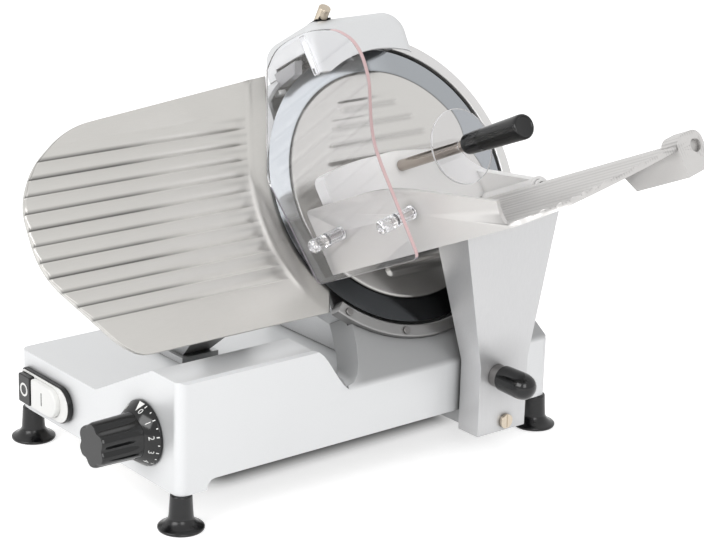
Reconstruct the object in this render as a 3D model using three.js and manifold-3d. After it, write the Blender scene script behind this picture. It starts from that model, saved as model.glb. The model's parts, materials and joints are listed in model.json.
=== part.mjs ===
// An electric gravity-feed meat slicer, in millimetres.
// x points to the carriage side, y away from the operator, z up.
// The origin is the sole of the front right foot.
import * as THREE from 'three';
import { mergeVertices } from 'three/addons/utils/BufferGeometryUtils.js';
import { ConvexGeometry } from 'three/addons/geometries/ConvexGeometry.js';
import Module from 'manifold-3d';

const wasm = await Module();
wasm.setup();

// Driving dimensions, shared by several pieces
const gap = 0.3;
const overrun = 3;
const bladeTiltDegrees = 29.6;
const trayLeanDegrees = 5.6;
const trayRollDegrees = 12;
const baseWidth = 300;
const baseLength = 490;
const baseBottom = 37;
const deckHeight = 102;
const bladeRadius = 150;
const bladeFromRear = 155;
const bladeFromEdge = 20.409;
const bladeAboveDeck = 47.576;
const thicknessTravel = 17;
const thicknessTurnDegrees = 330;
const sheetThickness = 4;

// The base casting: a shallow tray turned upside down, with a ridge at its right side
const base = {
  corner: 10,
  archTop: 48,
  archInset: 34,
  archRadius: 9,
  ridgeTop: 155,
  ridgeFlat: 46,
  ridgeFoot: 150,
  ridgeLength: 162,
  stepLength: 54,
  ridgeChamfer: 2.5,
  cornerBoss: 8,
  bossTop: 70,
  webFront: 108,
  webBack: 116,
  webWidth: 124,
  webBottom: 50,
  railSeat: 5.4,
  shaftBoss: 11,
  shaftBossLength: 14
};
const foot = {
  inset: 9,
  flange: 23.5,
  flangeEdge: 3,
  neckBottom: 12.5,
  neckTop: 10.6,
  flareHeight: 11,
  studRadius: 4,
  studLength: 18
};
const cover = {
  left: 6,
  right: 130,
  frontInset: 22,
  thickness: 2,
  lift: 3,
  post: 5,
  postInset: 12
};

// The pedestal under the blade, in the blade's own frame: x along the travel, y up the blade, z out
const pedestal = {
  frontFoot: 126,
  frontTop: 98,
  rearInset: 5,
  rearTop: 112,
  waistRise: 7.6,
  topLevel: 112,
  face: 5,
  depth: 39,
  wall: 5
};
const housing = {
  margin: 10,
  front: 14.3,
  back: 44,
  cutInset: 38,
  windowLeft: 52,
  windowRight: 42,
  bossRadius: 27,
  bossBack: 76
};
const ringGuard = {
  clearance: 3.5,
  width: 13.5,
  front: 2,
  back: 14,
  startDegrees: -134,
  endDegrees: 70
};
const guardScrew = {
  head: 4.2,
  proud: 1.8,
  degrees: [-130, -104]
};

const blade = {
  back: 6,
  edge: 1.4,
  bevel: 6,
  rimWidth: 32,
  seatDepth: 2.5,
  bore: 12
};
const bladeCover = {
  margin: 25,
  back: 0.5,
  front: 2.5,
  ribHeight: 1.4,
  ribWidth: 11,
  ribPitch: 18.1,
  ribCount: 11,
  ribInset: 45,
  bossRadius: 9,
  bossDepth: 5
};
const spindle = {
  radius: 11,
  bore: 5,
  flange: 32,
  flangeThickness: 5.5,
  length: 76
};
const tieRod = {
  radius: 4.5,
  length: 84,
  knobRadius: 12,
  knobLength: 14
};
const bearing = {
  outer: 21,
  width: 10,
  frontAt: 46,
  rearAt: 62
};
const pulley = {
  radius: 46,
  front: 16,
  back: 32,
  hub: 17,
  web: 5
};
const belt = {
  thickness: 3,
  width: 12
};
const motor = {
  offset: 105,
  radius: 50,
  length: 128,
  pulleyRadius: 16,
  shaft: 7,
  flange: 4
};
const motorCover = {
  halfWidth: 64,
  top: 42,
  depth: 218,
  length: 150,
  wall: 3,
  corner: 22,
  vent: 4,
  ventCount: 4,
  ventPitch: 9.6,
  ventInset: 12
};
const deflector = {
  reach: 26,
  margin: 12,
  halfLength: 54,
  thickness: 2
};

// The sharpener hood over the top of the blade, in the blade's frame
const hood = {
  left: 85,
  right: 50,
  rise: 28,
  skirt: 38,
  front: 43,
  back: 48,
  wall: 4,
  corner: 24,
  edge: 9,
  rimShown: 13,
  rimClearance: 1.5,
  notchBack: 22,
  notchFront: 35,
  notchDrop: 4
};
const sharpener = {
  stoneRadius: 14,
  stoneWidth: 9,
  frontStoneX: -30,
  rearStoneX: 14,
  stoneRise: 4,
  frontStoneZ: 6,
  rearStoneZ: 20,
  spindleRadius: 4,
  plate: 5,
  plateFront: 26,
  plateBack: 34,
  plateMargin: 8,
  plateDrop: 4
};
const pin = {
  x: -52,
  rise: 18.2,
  z: 13.6,
  radius: 6.5,
  tip: 0.9,
  length: 36,
  pitchDegrees: 33
};

// The gauge plate, in the blade's frame
const gauge = {
  face: 2,
  thickness: 4,
  left: 433,
  topLeftInset: 71,
  topLeftLevel: 114,
  topRightShare: 0.7733,
  topRightLevelShare: 0.91,
  upperLeftInset: 23,
  upperLeftLevel: 82,
  sideLevel: 46,
  lowerSideLevel: -22,
  bottomLeftInset: 62,
  bottomLeftRise: 14.5,
  bottomStep: 20,
  bottomLevelShare: 0.79,
  bottomRightShare: 0.8267,
  corner: 30,
  bladeGap: 3.5,
  arcEndShare: 0.6933,
  creaseMargin: 23.5,
  creaseTopShare: 0.9333,
  ribCount: 11,
  ribPitch: 16.05,
  ribTop: 87.5,
  ribHeight: 1.6,
  ribEdge: 1,
  ribCrown: 4,
  ribWidth: 11
};
const bracket = {
  y: 135,
  barDrop: 30,
  barRadius: 8,
  hubRadius: 12,
  hubLeft: 200,
  hubRight: 160,
  footFront: 112,
  footBack: 158,
  footLeft: 226,
  footRight: 152,
  footThickness: 7,
  slotLeft: 222,
  slotRight: 156,
  postFront: 129,
  postBack: 141,
  padLeft: 262,
  padRight: 196,
  padTop: -38,
  padBottom: -98,
  padThickness: 7,
  padBosses: 6,
  armFront: 69,
  armBack: 76,
  armHeight: 10,
  armWidth: 15,
  lugLeft: 138,
  lugRight: 130,
  lugHalf: 12,
  slotRoom: 1.2,
  slotCorner: 4
};
const dial = {
  x: 60,
  drop: 16,
  radius: 33.5,
  rim: 3,
  coneRadius: 25,
  coneLength: 15,
  gripRadius: 24.5,
  gripTaper: 1.2,
  gripLength: 46,
  lobes: 6,
  fluteRadius: 11,
  fluteDepth: 4.5,
  shaftRadius: 6,
  shaftEnd: 66
};
const cam = {
  radius: 37,
  front: 58,
  back: 66,
  grooveStart: 12,
  grooveDepth: 5,
  pinRadius: 3,
  steps: 40
};

const switchBox = {
  sideInset: 13,
  width: 94,
  height: 40,
  lowered: 3.5,
  proud: 7,
  depth: 24,
  rim: 4,
  offWidth: 28,
  onWidth: 51,
  buttonProud: 6,
  buttonLength: 16,
  travel: 3,
  corner: 5
};

// The carriage: arm, slide and rails, with front and back measured from the blade's axis
const arm = {
  inner: 4,
  outer: 35,
  front: 22,
  back: 89,
  bottom: 28,
  crease: 106,
  topOuter: 61,
  topFront: -35,
  topBack: 103,
  topRise: 20,
  wall: 6,
  pocketRise: 48,
  bossHalf: 19.5
};
const slide = {
  left: 120,
  right: 3.7,
  front: 31,
  back: 75,
  bottom: 29,
  top: 46,
  housingRadius: 16,
  webHalf: 8
};
const rail = {
  x: 60,
  height: 64,
  radius: 9,
  left: 118,
  right: 102,
  top: 62,
  bottom: 56
};
const roller = {
  radius: 8,
  x: 110,
  width: 9,
  axle: 3,
  earHalf: 3
};
const lockKnob = {
  back: 45,
  height: 94,
  radius: 13,
  collarRadius: 12.2,
  collarLength: 10,
  length: 31,
  pocket: 8,
  edge: 0.9
};
const armScrew = {
  back: 60,
  height: 39,
  radius: 8,
  head: 4,
  shank: 5,
  length: 26,
  slotWidth: 1.8,
  slotDepth: 1.2
};

// The tray, in its own frame: x up the slope, y across, z square to the floor
const tray = {
  cornerFront: 112,
  cornerDrop: 77.677,
  cornerOut: 7.168,
  floor: 5,
  wall: 4,
  wallHeight: 66,
  wallLevel: 133,
  wallKneeX: 207,
  wallKneeHeight: 44,
  wallEndX: 278,
  wallEndHeight: 23,
  hookX: 271,
  length: 284,
  width: 184,
  noseNearX: 322,
  noseNearY: 26,
  noseMidX: 336,
  noseMidY: 72,
  noseFarX: 343,
  ribPitch: 12,
  ribCount: 13,
  ribHeight: 1.5,
  ribHalf: 3.5,
  ribStart: 18
};
const rod = {
  y: 200,
  z: -8,
  radius: 6,
  end: 344,
  lugNear: 16,
  lugFar: 322,
  lugOuter: 212,
  lugTop: 7,
  lugRound: 12,
  lugBottom: -20,
  skirtStart: 256,
  skirtSlope: 272,
  skirtBottom: -33,
  holeRadius: 6.8,
  room: 13.6
};
const pusher = {
  near: 20,
  far: 37,
  wall: 5,
  sideNear: 8,
  top: 94,
  topNear: 54,
  shoulderY: 105,
  shoulderZ: 86,
  slopeY: 168,
  slopeZ: 66,
  endY: 214,
  endZ: 22,
  bottom: 2.2,
  sleeveOuter: 9.4,
  sleeveEnd: 122,
  hubOuter: 13,
  hubEnd: 118,
  gussetTop: 30,
  gussetHalf: 4
};
const handle = {
  y: 106,
  z: 69,
  shaftRadius: 6,
  shaftEnd: 147,
  gripStart: 10.6,
  gripEnd: 12.6,
  gripLength: 88,
  discRadius: 38.5,
  discThickness: 3,
  discX: 136,
  tenon: 3.6,
  tenonLength: 14,
  bossRadius: 9.6
};
const handGuard = {
  y: 25,
  thickness: 4,
  nearX: 1,
  bottom: -7,
  cornerX: -10,
  cornerZ: 112,
  topLeftX: 64,
  topLeftZ: 216,
  topZ: 232,
  topX: 150,
  topRightX: 196,
  topRightZ: 218,
  bulgeX: 207,
  bulgeZ: 190,
  waistX: 181,
  waistZ: 130,
  rightX: 170,
  rightZ: 44,
  corner: 10,
  beadX: 96,
  beadWidth: 7,
  beadLength: 44
};
const pillar = {
  nearX: 42,
  farX: 157,
  z: 35,
  radius: 7,
  knob: 7.6,
  knobLength: 18,
  waist: 6.4,
  screw: 2.6,
  facets: 10
};
const board = {
  sideInset: 15,
  width: 70,
  front: 170,
  length: 100,
  thickness: 1.6,
  drop: 14,
  post: 3
};
const capacitor = {
  fromLeft: 28,
  rearInset: 128,
  radius: 15,
  length: 62,
  rise: 23,
  clip: 2
};
const gland = {
  fromLeft: 50,
  radius: 9,
  nut: 11.5,
  length: 15,
  nutLength: 6,
  bore: 4
};

// Unit conversions and directions
const radians = (degrees) => THREE.MathUtils.degToRad(degrees);
const right = new THREE.Vector3(1, 0, 0);
const across = new THREE.Vector3(0, 1, 0);
const tilt = radians(bladeTiltDegrees);

// Sizes worked out from the driving ones
const bladeFromSide = bladeRadius * Math.sin(tilt) + bladeFromEdge;
const bladeFromFront = baseLength - bladeFromRear;
const bladeHeight = deckHeight + bladeRadius * Math.cos(tilt) + bladeAboveDeck;
const housingRadius = bladeRadius + housing.margin;
const ringInner = bladeRadius + ringGuard.clearance;
const ringOuter = ringInner + ringGuard.width;
const dialHeight = deckHeight - dial.drop;
const barHeight = deckHeight - bracket.barDrop;
const wallMiddle = (baseBottom + deckHeight) / 2;
const fromAxis = (distance) => bladeFromFront + distance;

// Turns a closed three.js geometry into a solid that can be joined and cut
function solidFrom(geometry) {
  const bare = geometry.clone();
  for (const name of Object.keys(bare.attributes)) {
    if (name !== 'position') bare.deleteAttribute(name);
  }
  const merged = mergeVertices(bare);
  const places = merged.attributes.position.array;
  const corners = merged.index.array;
  const kept = [];
  let volume = 0;
  const corner = (index) => new THREE.Vector3().fromArray(places, 3 * index);
  for (let i = 0; i < corners.length; i += 3) {
    const [a, b, c] = [corners[i], corners[i + 1], corners[i + 2]];
    if (a === b || b === c || c === a) continue;
    kept.push([a, b, c]);
    volume += corner(a).dot(corner(b).cross(corner(c)));
  }
  const facing = volume > 0 ? kept : kept.map(([a, b, c]) => [a, c, b]);
  const triVerts = new Uint32Array(facing.flat());
  const vertProperties = new Float32Array(places);
  return new wasm.Manifold(new wasm.Mesh({ numProp: 3, vertProperties, triVerts }));
}

function meshFrom(name, solid, material) {
  const made = solid.getMesh();
  const geometry = new THREE.BufferGeometry();
  geometry.setAttribute('position', new THREE.BufferAttribute(new Float32Array(made.vertProperties), 3));
  geometry.setIndex(new THREE.BufferAttribute(new Uint32Array(made.triVerts), 1));
  geometry.computeVertexNormals();
  const mesh = new THREE.Mesh(geometry, material);
  mesh.name = name;
  return mesh;
}

const join = (first, ...others) => others.reduce((whole, other) => whole.add(other), first);
const cut = (first, ...others) => others.reduce((whole, other) => whole.subtract(other), first);
const moved = (solid, matrix) => solid.transform(matrix.elements);
const shifted = (solid, x, y, z) => moved(solid, new THREE.Matrix4().makeTranslation(x, y, z));
const frameFrom = (x, y, z, origin) => new THREE.Matrix4().makeBasis(x, y, z).setPosition(origin);

// A prism from a list of [a, b] points, pushed along one axis
function prism(points, axis, low, high) {
  const shape = new THREE.Shape(points.map(([a, b]) => new THREE.Vector2(a, b)));
  const geometry = new THREE.ExtrudeGeometry(shape, { depth: high - low, bevelEnabled: false });
  const up = new THREE.Vector3(0, 0, 1);
  const frames = {
    x: frameFrom(across, up, right, new THREE.Vector3(low, 0, 0)),
    y: frameFrom(right, up, across.clone().negate(), new THREE.Vector3(0, high, 0)),
    z: frameFrom(right, across, up, new THREE.Vector3(0, 0, low))
  };
  return moved(solidFrom(geometry), frames[axis]);
}

function block(x0, x1, y0, y1, z0, z1) {
  return prism([[x0, y0], [x1, y0], [x1, y1], [x0, y1]], 'z', z0, z1);
}

function arc(x, y, radius, fromDegrees, toDegrees, steps) {
  const points = [];
  for (let i = 0; i <= steps; i += 1) {
    const angle = radians(fromDegrees + ((toDegrees - fromDegrees) * i) / steps);
    points.push([x + radius * Math.cos(angle), y + radius * Math.sin(angle)]);
  }
  return points;
}

function roundedBox(x0, x1, y0, y1, radius, steps = 4) {
  return [
    ...arc(x1 - radius, y0 + radius, radius, -90, 0, steps),
    ...arc(x1 - radius, y1 - radius, radius, 0, 90, steps),
    ...arc(x0 + radius, y1 - radius, radius, 90, 180, steps),
    ...arc(x0 + radius, y0 + radius, radius, 180, 270, steps)
  ];
}

// Rounds the corners of a list of [x, y] points
function rounded(points, radius, steps = 4) {
  const out = [];
  const count = points.length;
  for (let i = 0; i < count; i += 1) {
    const here = new THREE.Vector2(...points[i]);
    const before = new THREE.Vector2(...points[(i + count - 1) % count]).sub(here);
    const after = new THREE.Vector2(...points[(i + 1) % count]).sub(here);
    const reach = Math.min(radius, before.length() / 2.2, after.length() / 2.2);
    const start = here.clone().addScaledVector(before.normalize(), reach);
    const end = here.clone().addScaledVector(after.normalize(), reach);
    const curve = new THREE.QuadraticBezierCurve(start, here, end);
    for (const point of curve.getPoints(steps)) out.push([point.x, point.y]);
  }
  return out;
}

// A turned piece: the profile is a closed list of [radius, height] points
function turned(profile, axis, steps, x = 0, y = 0, z = 0) {
  const points = [...profile, profile[0]].map(([radius, height]) => new THREE.Vector2(radius, height));
  const geometry = new THREE.LatheGeometry(points, steps);
  const up = new THREE.Vector3(0, 0, 1);
  const frames = {
    x: frameFrom(across, right, up.clone().negate(), new THREE.Vector3(x, y, z)),
    y: frameFrom(right, across, up, new THREE.Vector3(x, y, z)),
    z: frameFrom(right, up, across.clone().negate(), new THREE.Vector3(x, y, z))
  };
  return moved(solidFrom(geometry), frames[axis]);
}

// A plain round bar from low to high along one axis, its centre line through (a, b)
function bar(axis, radius, low, high, a, b, steps = 20) {
  const places = { x: [low, a, b], y: [a, low, b], z: [a, b, low] };
  const profile = [[0, 0], [radius, 0], [radius, high - low], [0, high - low]];
  return turned(profile, axis, steps, ...places[axis]);
}

function tube(axis, inner, outer, low, high, a, b, steps = 24) {
  const places = { x: [low, a, b], y: [a, low, b], z: [a, b, low] };
  const profile = [[inner, 0], [outer, 0], [outer, high - low], [inner, high - low]];
  return turned(profile, axis, steps, ...places[axis]);
}

function hull(points) {
  return solidFrom(new ConvexGeometry(points.map((point) => new THREE.Vector3(...point))));
}

// Finishes
const finish = (color, roughness, metalness, extra = {}) =>
  new THREE.MeshStandardMaterial({ color, roughness, metalness, ...extra });
const castAluminium = () => finish('#d9dad9', 0.38, 0.6);
const brushedAluminium = () => finish('#c9c8c4', 0.32, 0.9);
const bladeSteel = () => finish('#b4bcc6', 0.16, 1);
const polishedSteel = () => finish('#c8c6c2', 0.2, 1);
const nickel = () => finish('#cbbfae', 0.25, 1);
const blackPlastic = () => finish('#141415', 0.3, 0);
const blackRubber = () => finish('#1b1b1c', 0.6, 0);
const whitePlastic = () => finish('#f2f2f0', 0.35, 0);
const clearPlastic = () => finish('#e9edf0', 0.05, 0, { transparent: true, opacity: 0.3 });
const darkSteel = () => finish('#55585c', 0.45, 0.9);
const abrasive = () => finish('#8a6f5a', 0.95, 0);
const boardGreen = () => finish('#2f6b45', 0.6, 0);
const nylon = () => finish('#e7e4d8', 0.5, 0);

// The blade's frame: x along the carriage travel, y up the blade, z out of its face
const bladeOrigin = new THREE.Vector3(-bladeFromSide, bladeFromFront, bladeHeight);
const bladeUp = new THREE.Vector3(-Math.sin(tilt), 0, Math.cos(tilt));
const bladeOut = new THREE.Vector3(Math.cos(tilt), 0, Math.sin(tilt));
const bladeFrame = frameFrom(across, bladeUp, bladeOut, bladeOrigin);

// The tray's frame: x up the slope, y across the travel, z square to the floor
const slope = radians(bladeTiltDegrees - trayLeanDegrees);
const roll = radians(trayRollDegrees);
const trayX = new THREE.Vector3(Math.cos(slope), 0, Math.sin(slope));
const trayLevel = new THREE.Vector3(-Math.sin(slope), 0, Math.cos(slope));
const trayY = across.clone().multiplyScalar(Math.cos(roll)).addScaledVector(trayLevel, Math.sin(roll));
const trayZ = new THREE.Vector3().crossVectors(trayX, trayY);
const trayCorner = new THREE.Vector3(-tray.cornerFront, -tray.cornerDrop, tray.cornerOut);
const trayOrigin = trayCorner.applyMatrix4(bladeFrame);
const trayFrame = frameFrom(trayX, trayY, trayZ, trayOrigin);

const model = new THREE.Group();
model.position.set(foot.inset, -foot.inset, 0);
const bench = new THREE.Group();
const onBlade = new THREE.Group();
const onTray = new THREE.Group();
onBlade.applyMatrix4(bladeFrame);
onTray.applyMatrix4(trayFrame);
model.add(bench, onBlade, onTray);

// Ridge outline seen from the front, and its stepped end seen from the side
function ridgeSolid(inset) {
  const top = base.ridgeTop - inset;
  const low = base.archTop;
  const chamfer = base.ridgeChamfer;
  const front = [
    [-base.ridgeFoot + inset, low],
    [-inset, low],
    [-inset, top - chamfer],
    [-inset - chamfer, top],
    [-base.ridgeFlat, top],
    [-base.ridgeFoot + inset, deckHeight - inset]
  ];
  const end = base.ridgeLength + base.stepLength;
  const half = base.stepLength / 2;
  const drop = (base.ridgeTop - deckHeight) / 2;
  const steps = 8;
  const side = [[inset, low], [end - inset, low]];
  for (let i = 0; i <= steps; i += 1) {
    const share = i / steps;
    const y = end - inset - 2 * half * share;
    const z = deckHeight - inset + drop * (1 - Math.cos(Math.PI * share));
    side.push([y, z]);
  }
  side.push([inset, top]);
  return prism(front, 'y', inset, end).intersect(prism(side, 'x', -base.ridgeFoot, overrun));
}

function pedestalOutline(inset) {
  const waist = (bladeHeight - deckHeight - pedestal.waistRise) / Math.cos(tilt);
  const low = (bladeHeight - baseBottom) / Math.cos(tilt);
  const rear = bladeFromRear - pedestal.rearInset - inset;
  const frontCurve = new THREE.QuadraticBezierCurve(
    new THREE.Vector2(-pedestal.frontTop + inset, -pedestal.topLevel),
    new THREE.Vector2(-pedestal.frontTop + inset, -waist + inset),
    new THREE.Vector2(-pedestal.frontFoot + inset, -waist)
  );
  const curve = frontCurve.getPoints(6).map((point) => [point.x, point.y]);
  return [
    ...curve,
    [-pedestal.frontFoot + inset, -low],
    [rear, -low],
    [rear, -waist],
    [pedestal.rearTop - inset, -pedestal.topLevel]
  ];
}

// The whole base casting with its pedestal, open underneath
function makeBase() {
  const wall = sheetThickness;
  const foots = roundedBox(-baseWidth, 0, 0, baseLength, base.corner);
  const inner = roundedBox(-baseWidth + wall, -wall, wall, baseLength - wall, base.corner - wall);
  const outline = prism(foots, 'z', baseBottom, base.ridgeTop + overrun);
  const box = prism(foots, 'z', baseBottom, deckHeight);
  const outer = join(box, ridgeSolid(0)).intersect(outline);
  const hollow = join(prism(inner, 'z', baseBottom - overrun, deckHeight - wall), ridgeSolid(wall));

  const back = -pedestal.face - pedestal.depth;
  const raised = moved(prism(pedestalOutline(0), 'z', back, -pedestal.face), bladeFrame);
  const inset = pedestal.wall;
  const raisedHollow = moved(
    prism(pedestalOutline(inset), 'z', back + inset, -pedestal.face - inset),
    bladeFrame
  ).intersect(prism(inner, 'z', deckHeight - wall - overrun, bladeHeight));
  const aboveDeck = prism(foots, 'z', deckHeight - wall, bladeHeight);
  const seat = moved(bar('z', housingRadius + gap, -housing.back - overrun, overrun, 0, 0, 64), bladeFrame);
  const ringSeat = moved(
    bar('z', ringOuter + gap, -ringGuard.back - gap, overrun, 0, 0, 64),
    bladeFrame
  );
  const motorWay = moved(
    bar('z', motor.radius + wall, -housing.back - motor.length - wall, 0, 0, -motor.offset, 32),
    bladeFrame
  );

  const archSide = prism(
    roundedBox(base.archInset, baseLength - base.archInset, base.archTop - 2 * base.archRadius, base.archTop,
      base.archRadius, 3),
    'x', -wall - overrun, overrun
  );
  const bosses = [];
  const studs = [];
  for (const [x, y] of footPlaces()) {
    bosses.push(bar('z', base.cornerBoss, baseBottom, base.bossTop, x, y, 16));
    const studTop = baseBottom + foot.studLength + gap;
    studs.push(bar('z', foot.studRadius + gap, baseBottom - overrun, studTop, x, y, 12));
  }
  const coverTop = baseBottom + cover.lift + cover.thickness + gap;
  for (const x of [-baseWidth + cover.left + cover.postInset, -cover.right - cover.postInset]) {
    for (const y of [cover.frontInset + cover.postInset, baseLength - cover.frontInset - cover.postInset]) {
      bosses.push(bar('z', cover.post, coverTop, deckHeight - wall / 2, x, y, 12));
    }
  }
  const webTop = deckHeight + wall;
  const web = block(-base.webWidth, -wall / 2, base.webFront, base.webBack, base.webBottom, webTop);
  const shaftBoss = bar('y', base.shaftBoss, wall / 2, base.shaftBossLength, -dial.x, dialHeight);
  const lug = block(
    -bracket.lugLeft, -bracket.lugRight, bracket.y - bracket.lugHalf, bracket.y + bracket.lugHalf,
    barHeight - bracket.lugHalf, deckHeight + 2 * wall
  );
  const shell = cut(join(outer, raised.intersect(aboveDeck)), hollow, raisedHollow);
  const full = join(shell, ...bosses, web, shaftBoss, lug).intersect(
    join(outer, prism(foots, 'z', baseBottom, bladeHeight).intersect(raised))
  );
  const slot = prism(
    roundedBox(-bracket.slotLeft, -bracket.slotRight, bracket.postFront - bracket.slotRoom,
      bracket.postBack + bracket.slotRoom, bracket.slotCorner, 2),
    'z', deckHeight - wall - overrun, deckHeight + overrun
  );
  const body = switchBody(0);
  const switchHole = block(body.left, body.right, -overrun, wall + overrun, body.bottom, body.top);
  const glandHole = bar('y', gland.radius + gap, baseLength - wall - overrun, baseLength + overrun,
    -baseWidth + gland.fromLeft, wallMiddle);
  return cut(
    full, seat, ringSeat, motorWay, archSide, ...studs, slot, switchHole, glandHole,
    bar('y', dial.shaftRadius + gap, -overrun, base.shaftBossLength + overrun, -dial.x, dialHeight),
    bar('x', bracket.barRadius + gap, -bracket.lugLeft - overrun, -bracket.lugRight + overrun, bracket.y,
      barHeight),
    bar('y', rail.radius + gap, base.webBack - base.railSeat, base.webBack + overrun, -rail.x, rail.height)
  );
}

function footPlaces() {
  const near = foot.inset;
  return [
    [-near, near],
    [-baseWidth + near, near],
    [-near, baseLength - near],
    [-baseWidth + near, baseLength - near]
  ];
}

function makeFoot() {
  const top = baseBottom - gap;
  const profile = [
    [0, 0],
    [foot.flange - foot.flangeEdge / 3, 0],
    [foot.flange, foot.flangeEdge / 3],
    [foot.flange, foot.flangeEdge],
    [(foot.flange + foot.neckBottom) / 2, (foot.flangeEdge + foot.flareHeight) / 2.2],
    [foot.neckBottom, foot.flareHeight],
    [foot.neckTop, top],
    [foot.studRadius, top],
    [foot.studRadius, top + foot.studLength],
    [0, top + foot.studLength]
  ];
  return turned(profile, 'z', 24);
}

function makeBottomCover() {
  const plate = prism(
    roundedBox(-baseWidth + cover.left, -cover.right, cover.frontInset, baseLength - cover.frontInset,
      base.corner, 2),
    'z', baseBottom + cover.lift, baseBottom + cover.lift + cover.thickness
  );
  return plate;
}

// The dish behind the blade, with its bearing boss
function makeHousing() {
  const wall = sheetThickness;
  const shell = turned([
    [0, -housing.back], [housingRadius, -housing.back], [housingRadius, -housing.front],
    [housingRadius - wall, -housing.front], [housingRadius - wall, -housing.back + wall],
    [0, -housing.back + wall]
  ], 'z', 64);
  const side = bladeRadius - housing.cutInset;
  const trimmed = cut(shell, block(
    -housingRadius - overrun, -side, -housingRadius, housingRadius, -housing.back - overrun, 0
  ));
  const cheek = block(-side, -side + wall, -side, side, -housing.back, -housing.front);
  const boss = bar('z', housing.bossRadius, -housing.bossBack, -housing.back + wall / 2, 0, 0, 32);
  const window = block(
    -housing.windowLeft, housing.windowRight, housingRadius - 3 * wall, housingRadius + overrun,
    -housing.back + wall, 0
  );
  return cut(
    join(trimmed, cheek, boss), window,
    bar('z', bearing.outer + gap, -housing.bossBack - overrun, 0, 0, 0, 32),
    bar('z', motor.shaft + wall, -housing.back - overrun, 0, 0, -motor.offset)
  );
}

function makeRingGuard() {
  const { startDegrees, endDegrees } = ringGuard;
  const steps = 40;
  const outline = [
    ...arc(0, 0, ringOuter, startDegrees, endDegrees, steps),
    ...arc(0, 0, ringInner, endDegrees, startDegrees, steps)
  ];
  return prism(outline, 'z', -ringGuard.back, ringGuard.front);
}

function makeGuardScrew(degrees) {
  const middle = (ringInner + ringOuter) / 2;
  const low = ringGuard.front + gap;
  const angle = radians(degrees);
  return bar('z', guardScrew.head, low, low + guardScrew.proud, middle * Math.cos(angle),
    middle * Math.sin(angle), 12);
}

function makeBlade() {
  const seat = bladeRadius - blade.rimWidth;
  return turned([
    [blade.bore, -blade.back], [seat - blade.bevel, -blade.back], [bladeRadius, -blade.edge],
    [bladeRadius, -blade.edge / 2], [bladeRadius - blade.bevel, 0], [seat, 0],
    [seat - blade.seatDepth, -blade.seatDepth], [blade.bore, -blade.seatDepth]
  ], 'z', 72);
}

function makeBladeCover() {
  const ribs = [];
  const radius = bladeRadius - bladeCover.margin;
  const middle = (bladeCover.ribCount - 1) / 2;
  for (let i = 0; i < bladeCover.ribCount; i += 1) {
    const y = (i - middle) * bladeCover.ribPitch;
    const reach = Math.sqrt(radius ** 2 - y ** 2) - bladeCover.ribInset;
    const half = bladeCover.ribWidth / 2;
    ribs.push(prism(
      roundedBox(-reach, reach, y - half, y + half, half, 3),
      'z', (bladeCover.back + bladeCover.front) / 2, bladeCover.front + bladeCover.ribHeight
    ));
  }
  const disc = bar('z', radius, bladeCover.back, bladeCover.front, 0, 0, 72);
  const boss = bar('z', bladeCover.bossRadius, -bladeCover.bossDepth, bladeCover.front, 0, 0);
  return join(disc, boss, ...ribs);
}

function makeSpindle() {
  const front = -blade.back - gap;
  const back = front - spindle.flangeThickness;
  return turned([
    [spindle.bore, front], [spindle.flange, front], [spindle.flange, back], [spindle.radius, back],
    [spindle.radius, -spindle.length], [spindle.bore, -spindle.length]
  ], 'z', 32);
}

function makeTieRod() {
  const front = -bladeCover.bossDepth - gap;
  const knobFront = -spindle.length - gap;
  const shaft = bar('z', tieRod.radius, -tieRod.length, front, 0, 0, 16);
  return join(shaft, bar('z', tieRod.knobRadius, knobFront - tieRod.knobLength, knobFront, 0, 0, 16));
}

function makeBearing(at) {
  return tube('z', spindle.radius + gap, bearing.outer, -at - bearing.width, -at, 0, 0, 28);
}

function makeDrivenPulley() {
  const { radius, front, back, hub, web } = pulley;
  const rim = radius - web;
  const middle = (front + back) / 2;
  return turned([
    [spindle.radius + gap, -front], [hub, -front], [hub, -middle + web / 2], [rim, -middle + web / 2],
    [rim, -front], [radius, -front], [radius, -back], [rim, -back], [rim, -middle - web / 2],
    [hub, -middle - web / 2], [hub, -back], [spindle.radius + gap, -back]
  ], 'z', 40);
}

function makeMotorPulley() {
  return tube('z', motor.shaft + gap, motor.pulleyRadius, -pulley.back, -pulley.front, 0, -motor.offset, 28);
}

// Two arcs and the tangents between them, around the large pulley and the small one
function beltLoop(clear) {
  const large = pulley.radius + clear;
  const small = motor.pulleyRadius + clear;
  const lean = THREE.MathUtils.radToDeg(Math.asin((large - small) / motor.offset));
  return [
    ...arc(0, 0, large, -lean, 180 + lean, 24),
    ...arc(0, -motor.offset, small, 180 + lean, 360 - lean, 12)
  ];
}

function makeBelt() {
  const middle = (pulley.front + pulley.back) / 2;
  const [back, front] = [-middle - belt.width / 2, -middle + belt.width / 2];
  return cut(
    prism(beltLoop(gap + belt.thickness), 'z', back, front),
    prism(beltLoop(gap), 'z', back - overrun, front + overrun)
  );
}

function makeMotor() {
  const front = -housing.back - gap;
  const back = front - motor.length;
  const step = motor.flange;
  return turned([
    [motor.shaft + gap, front], [motor.radius, front], [motor.radius, front - step],
    [motor.radius - step, front - 2 * step], [motor.radius - step, back + 2 * step],
    [motor.radius - 2 * step, back], [motor.shaft + gap, back]
  ], 'z', 32, 0, -motor.offset);
}

function makeMotorShaft() {
  const back = -housing.back - motor.length + motor.flange;
  return bar('z', motor.shaft, back, -pulley.front + gap, 0, -motor.offset, 16);
}

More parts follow.
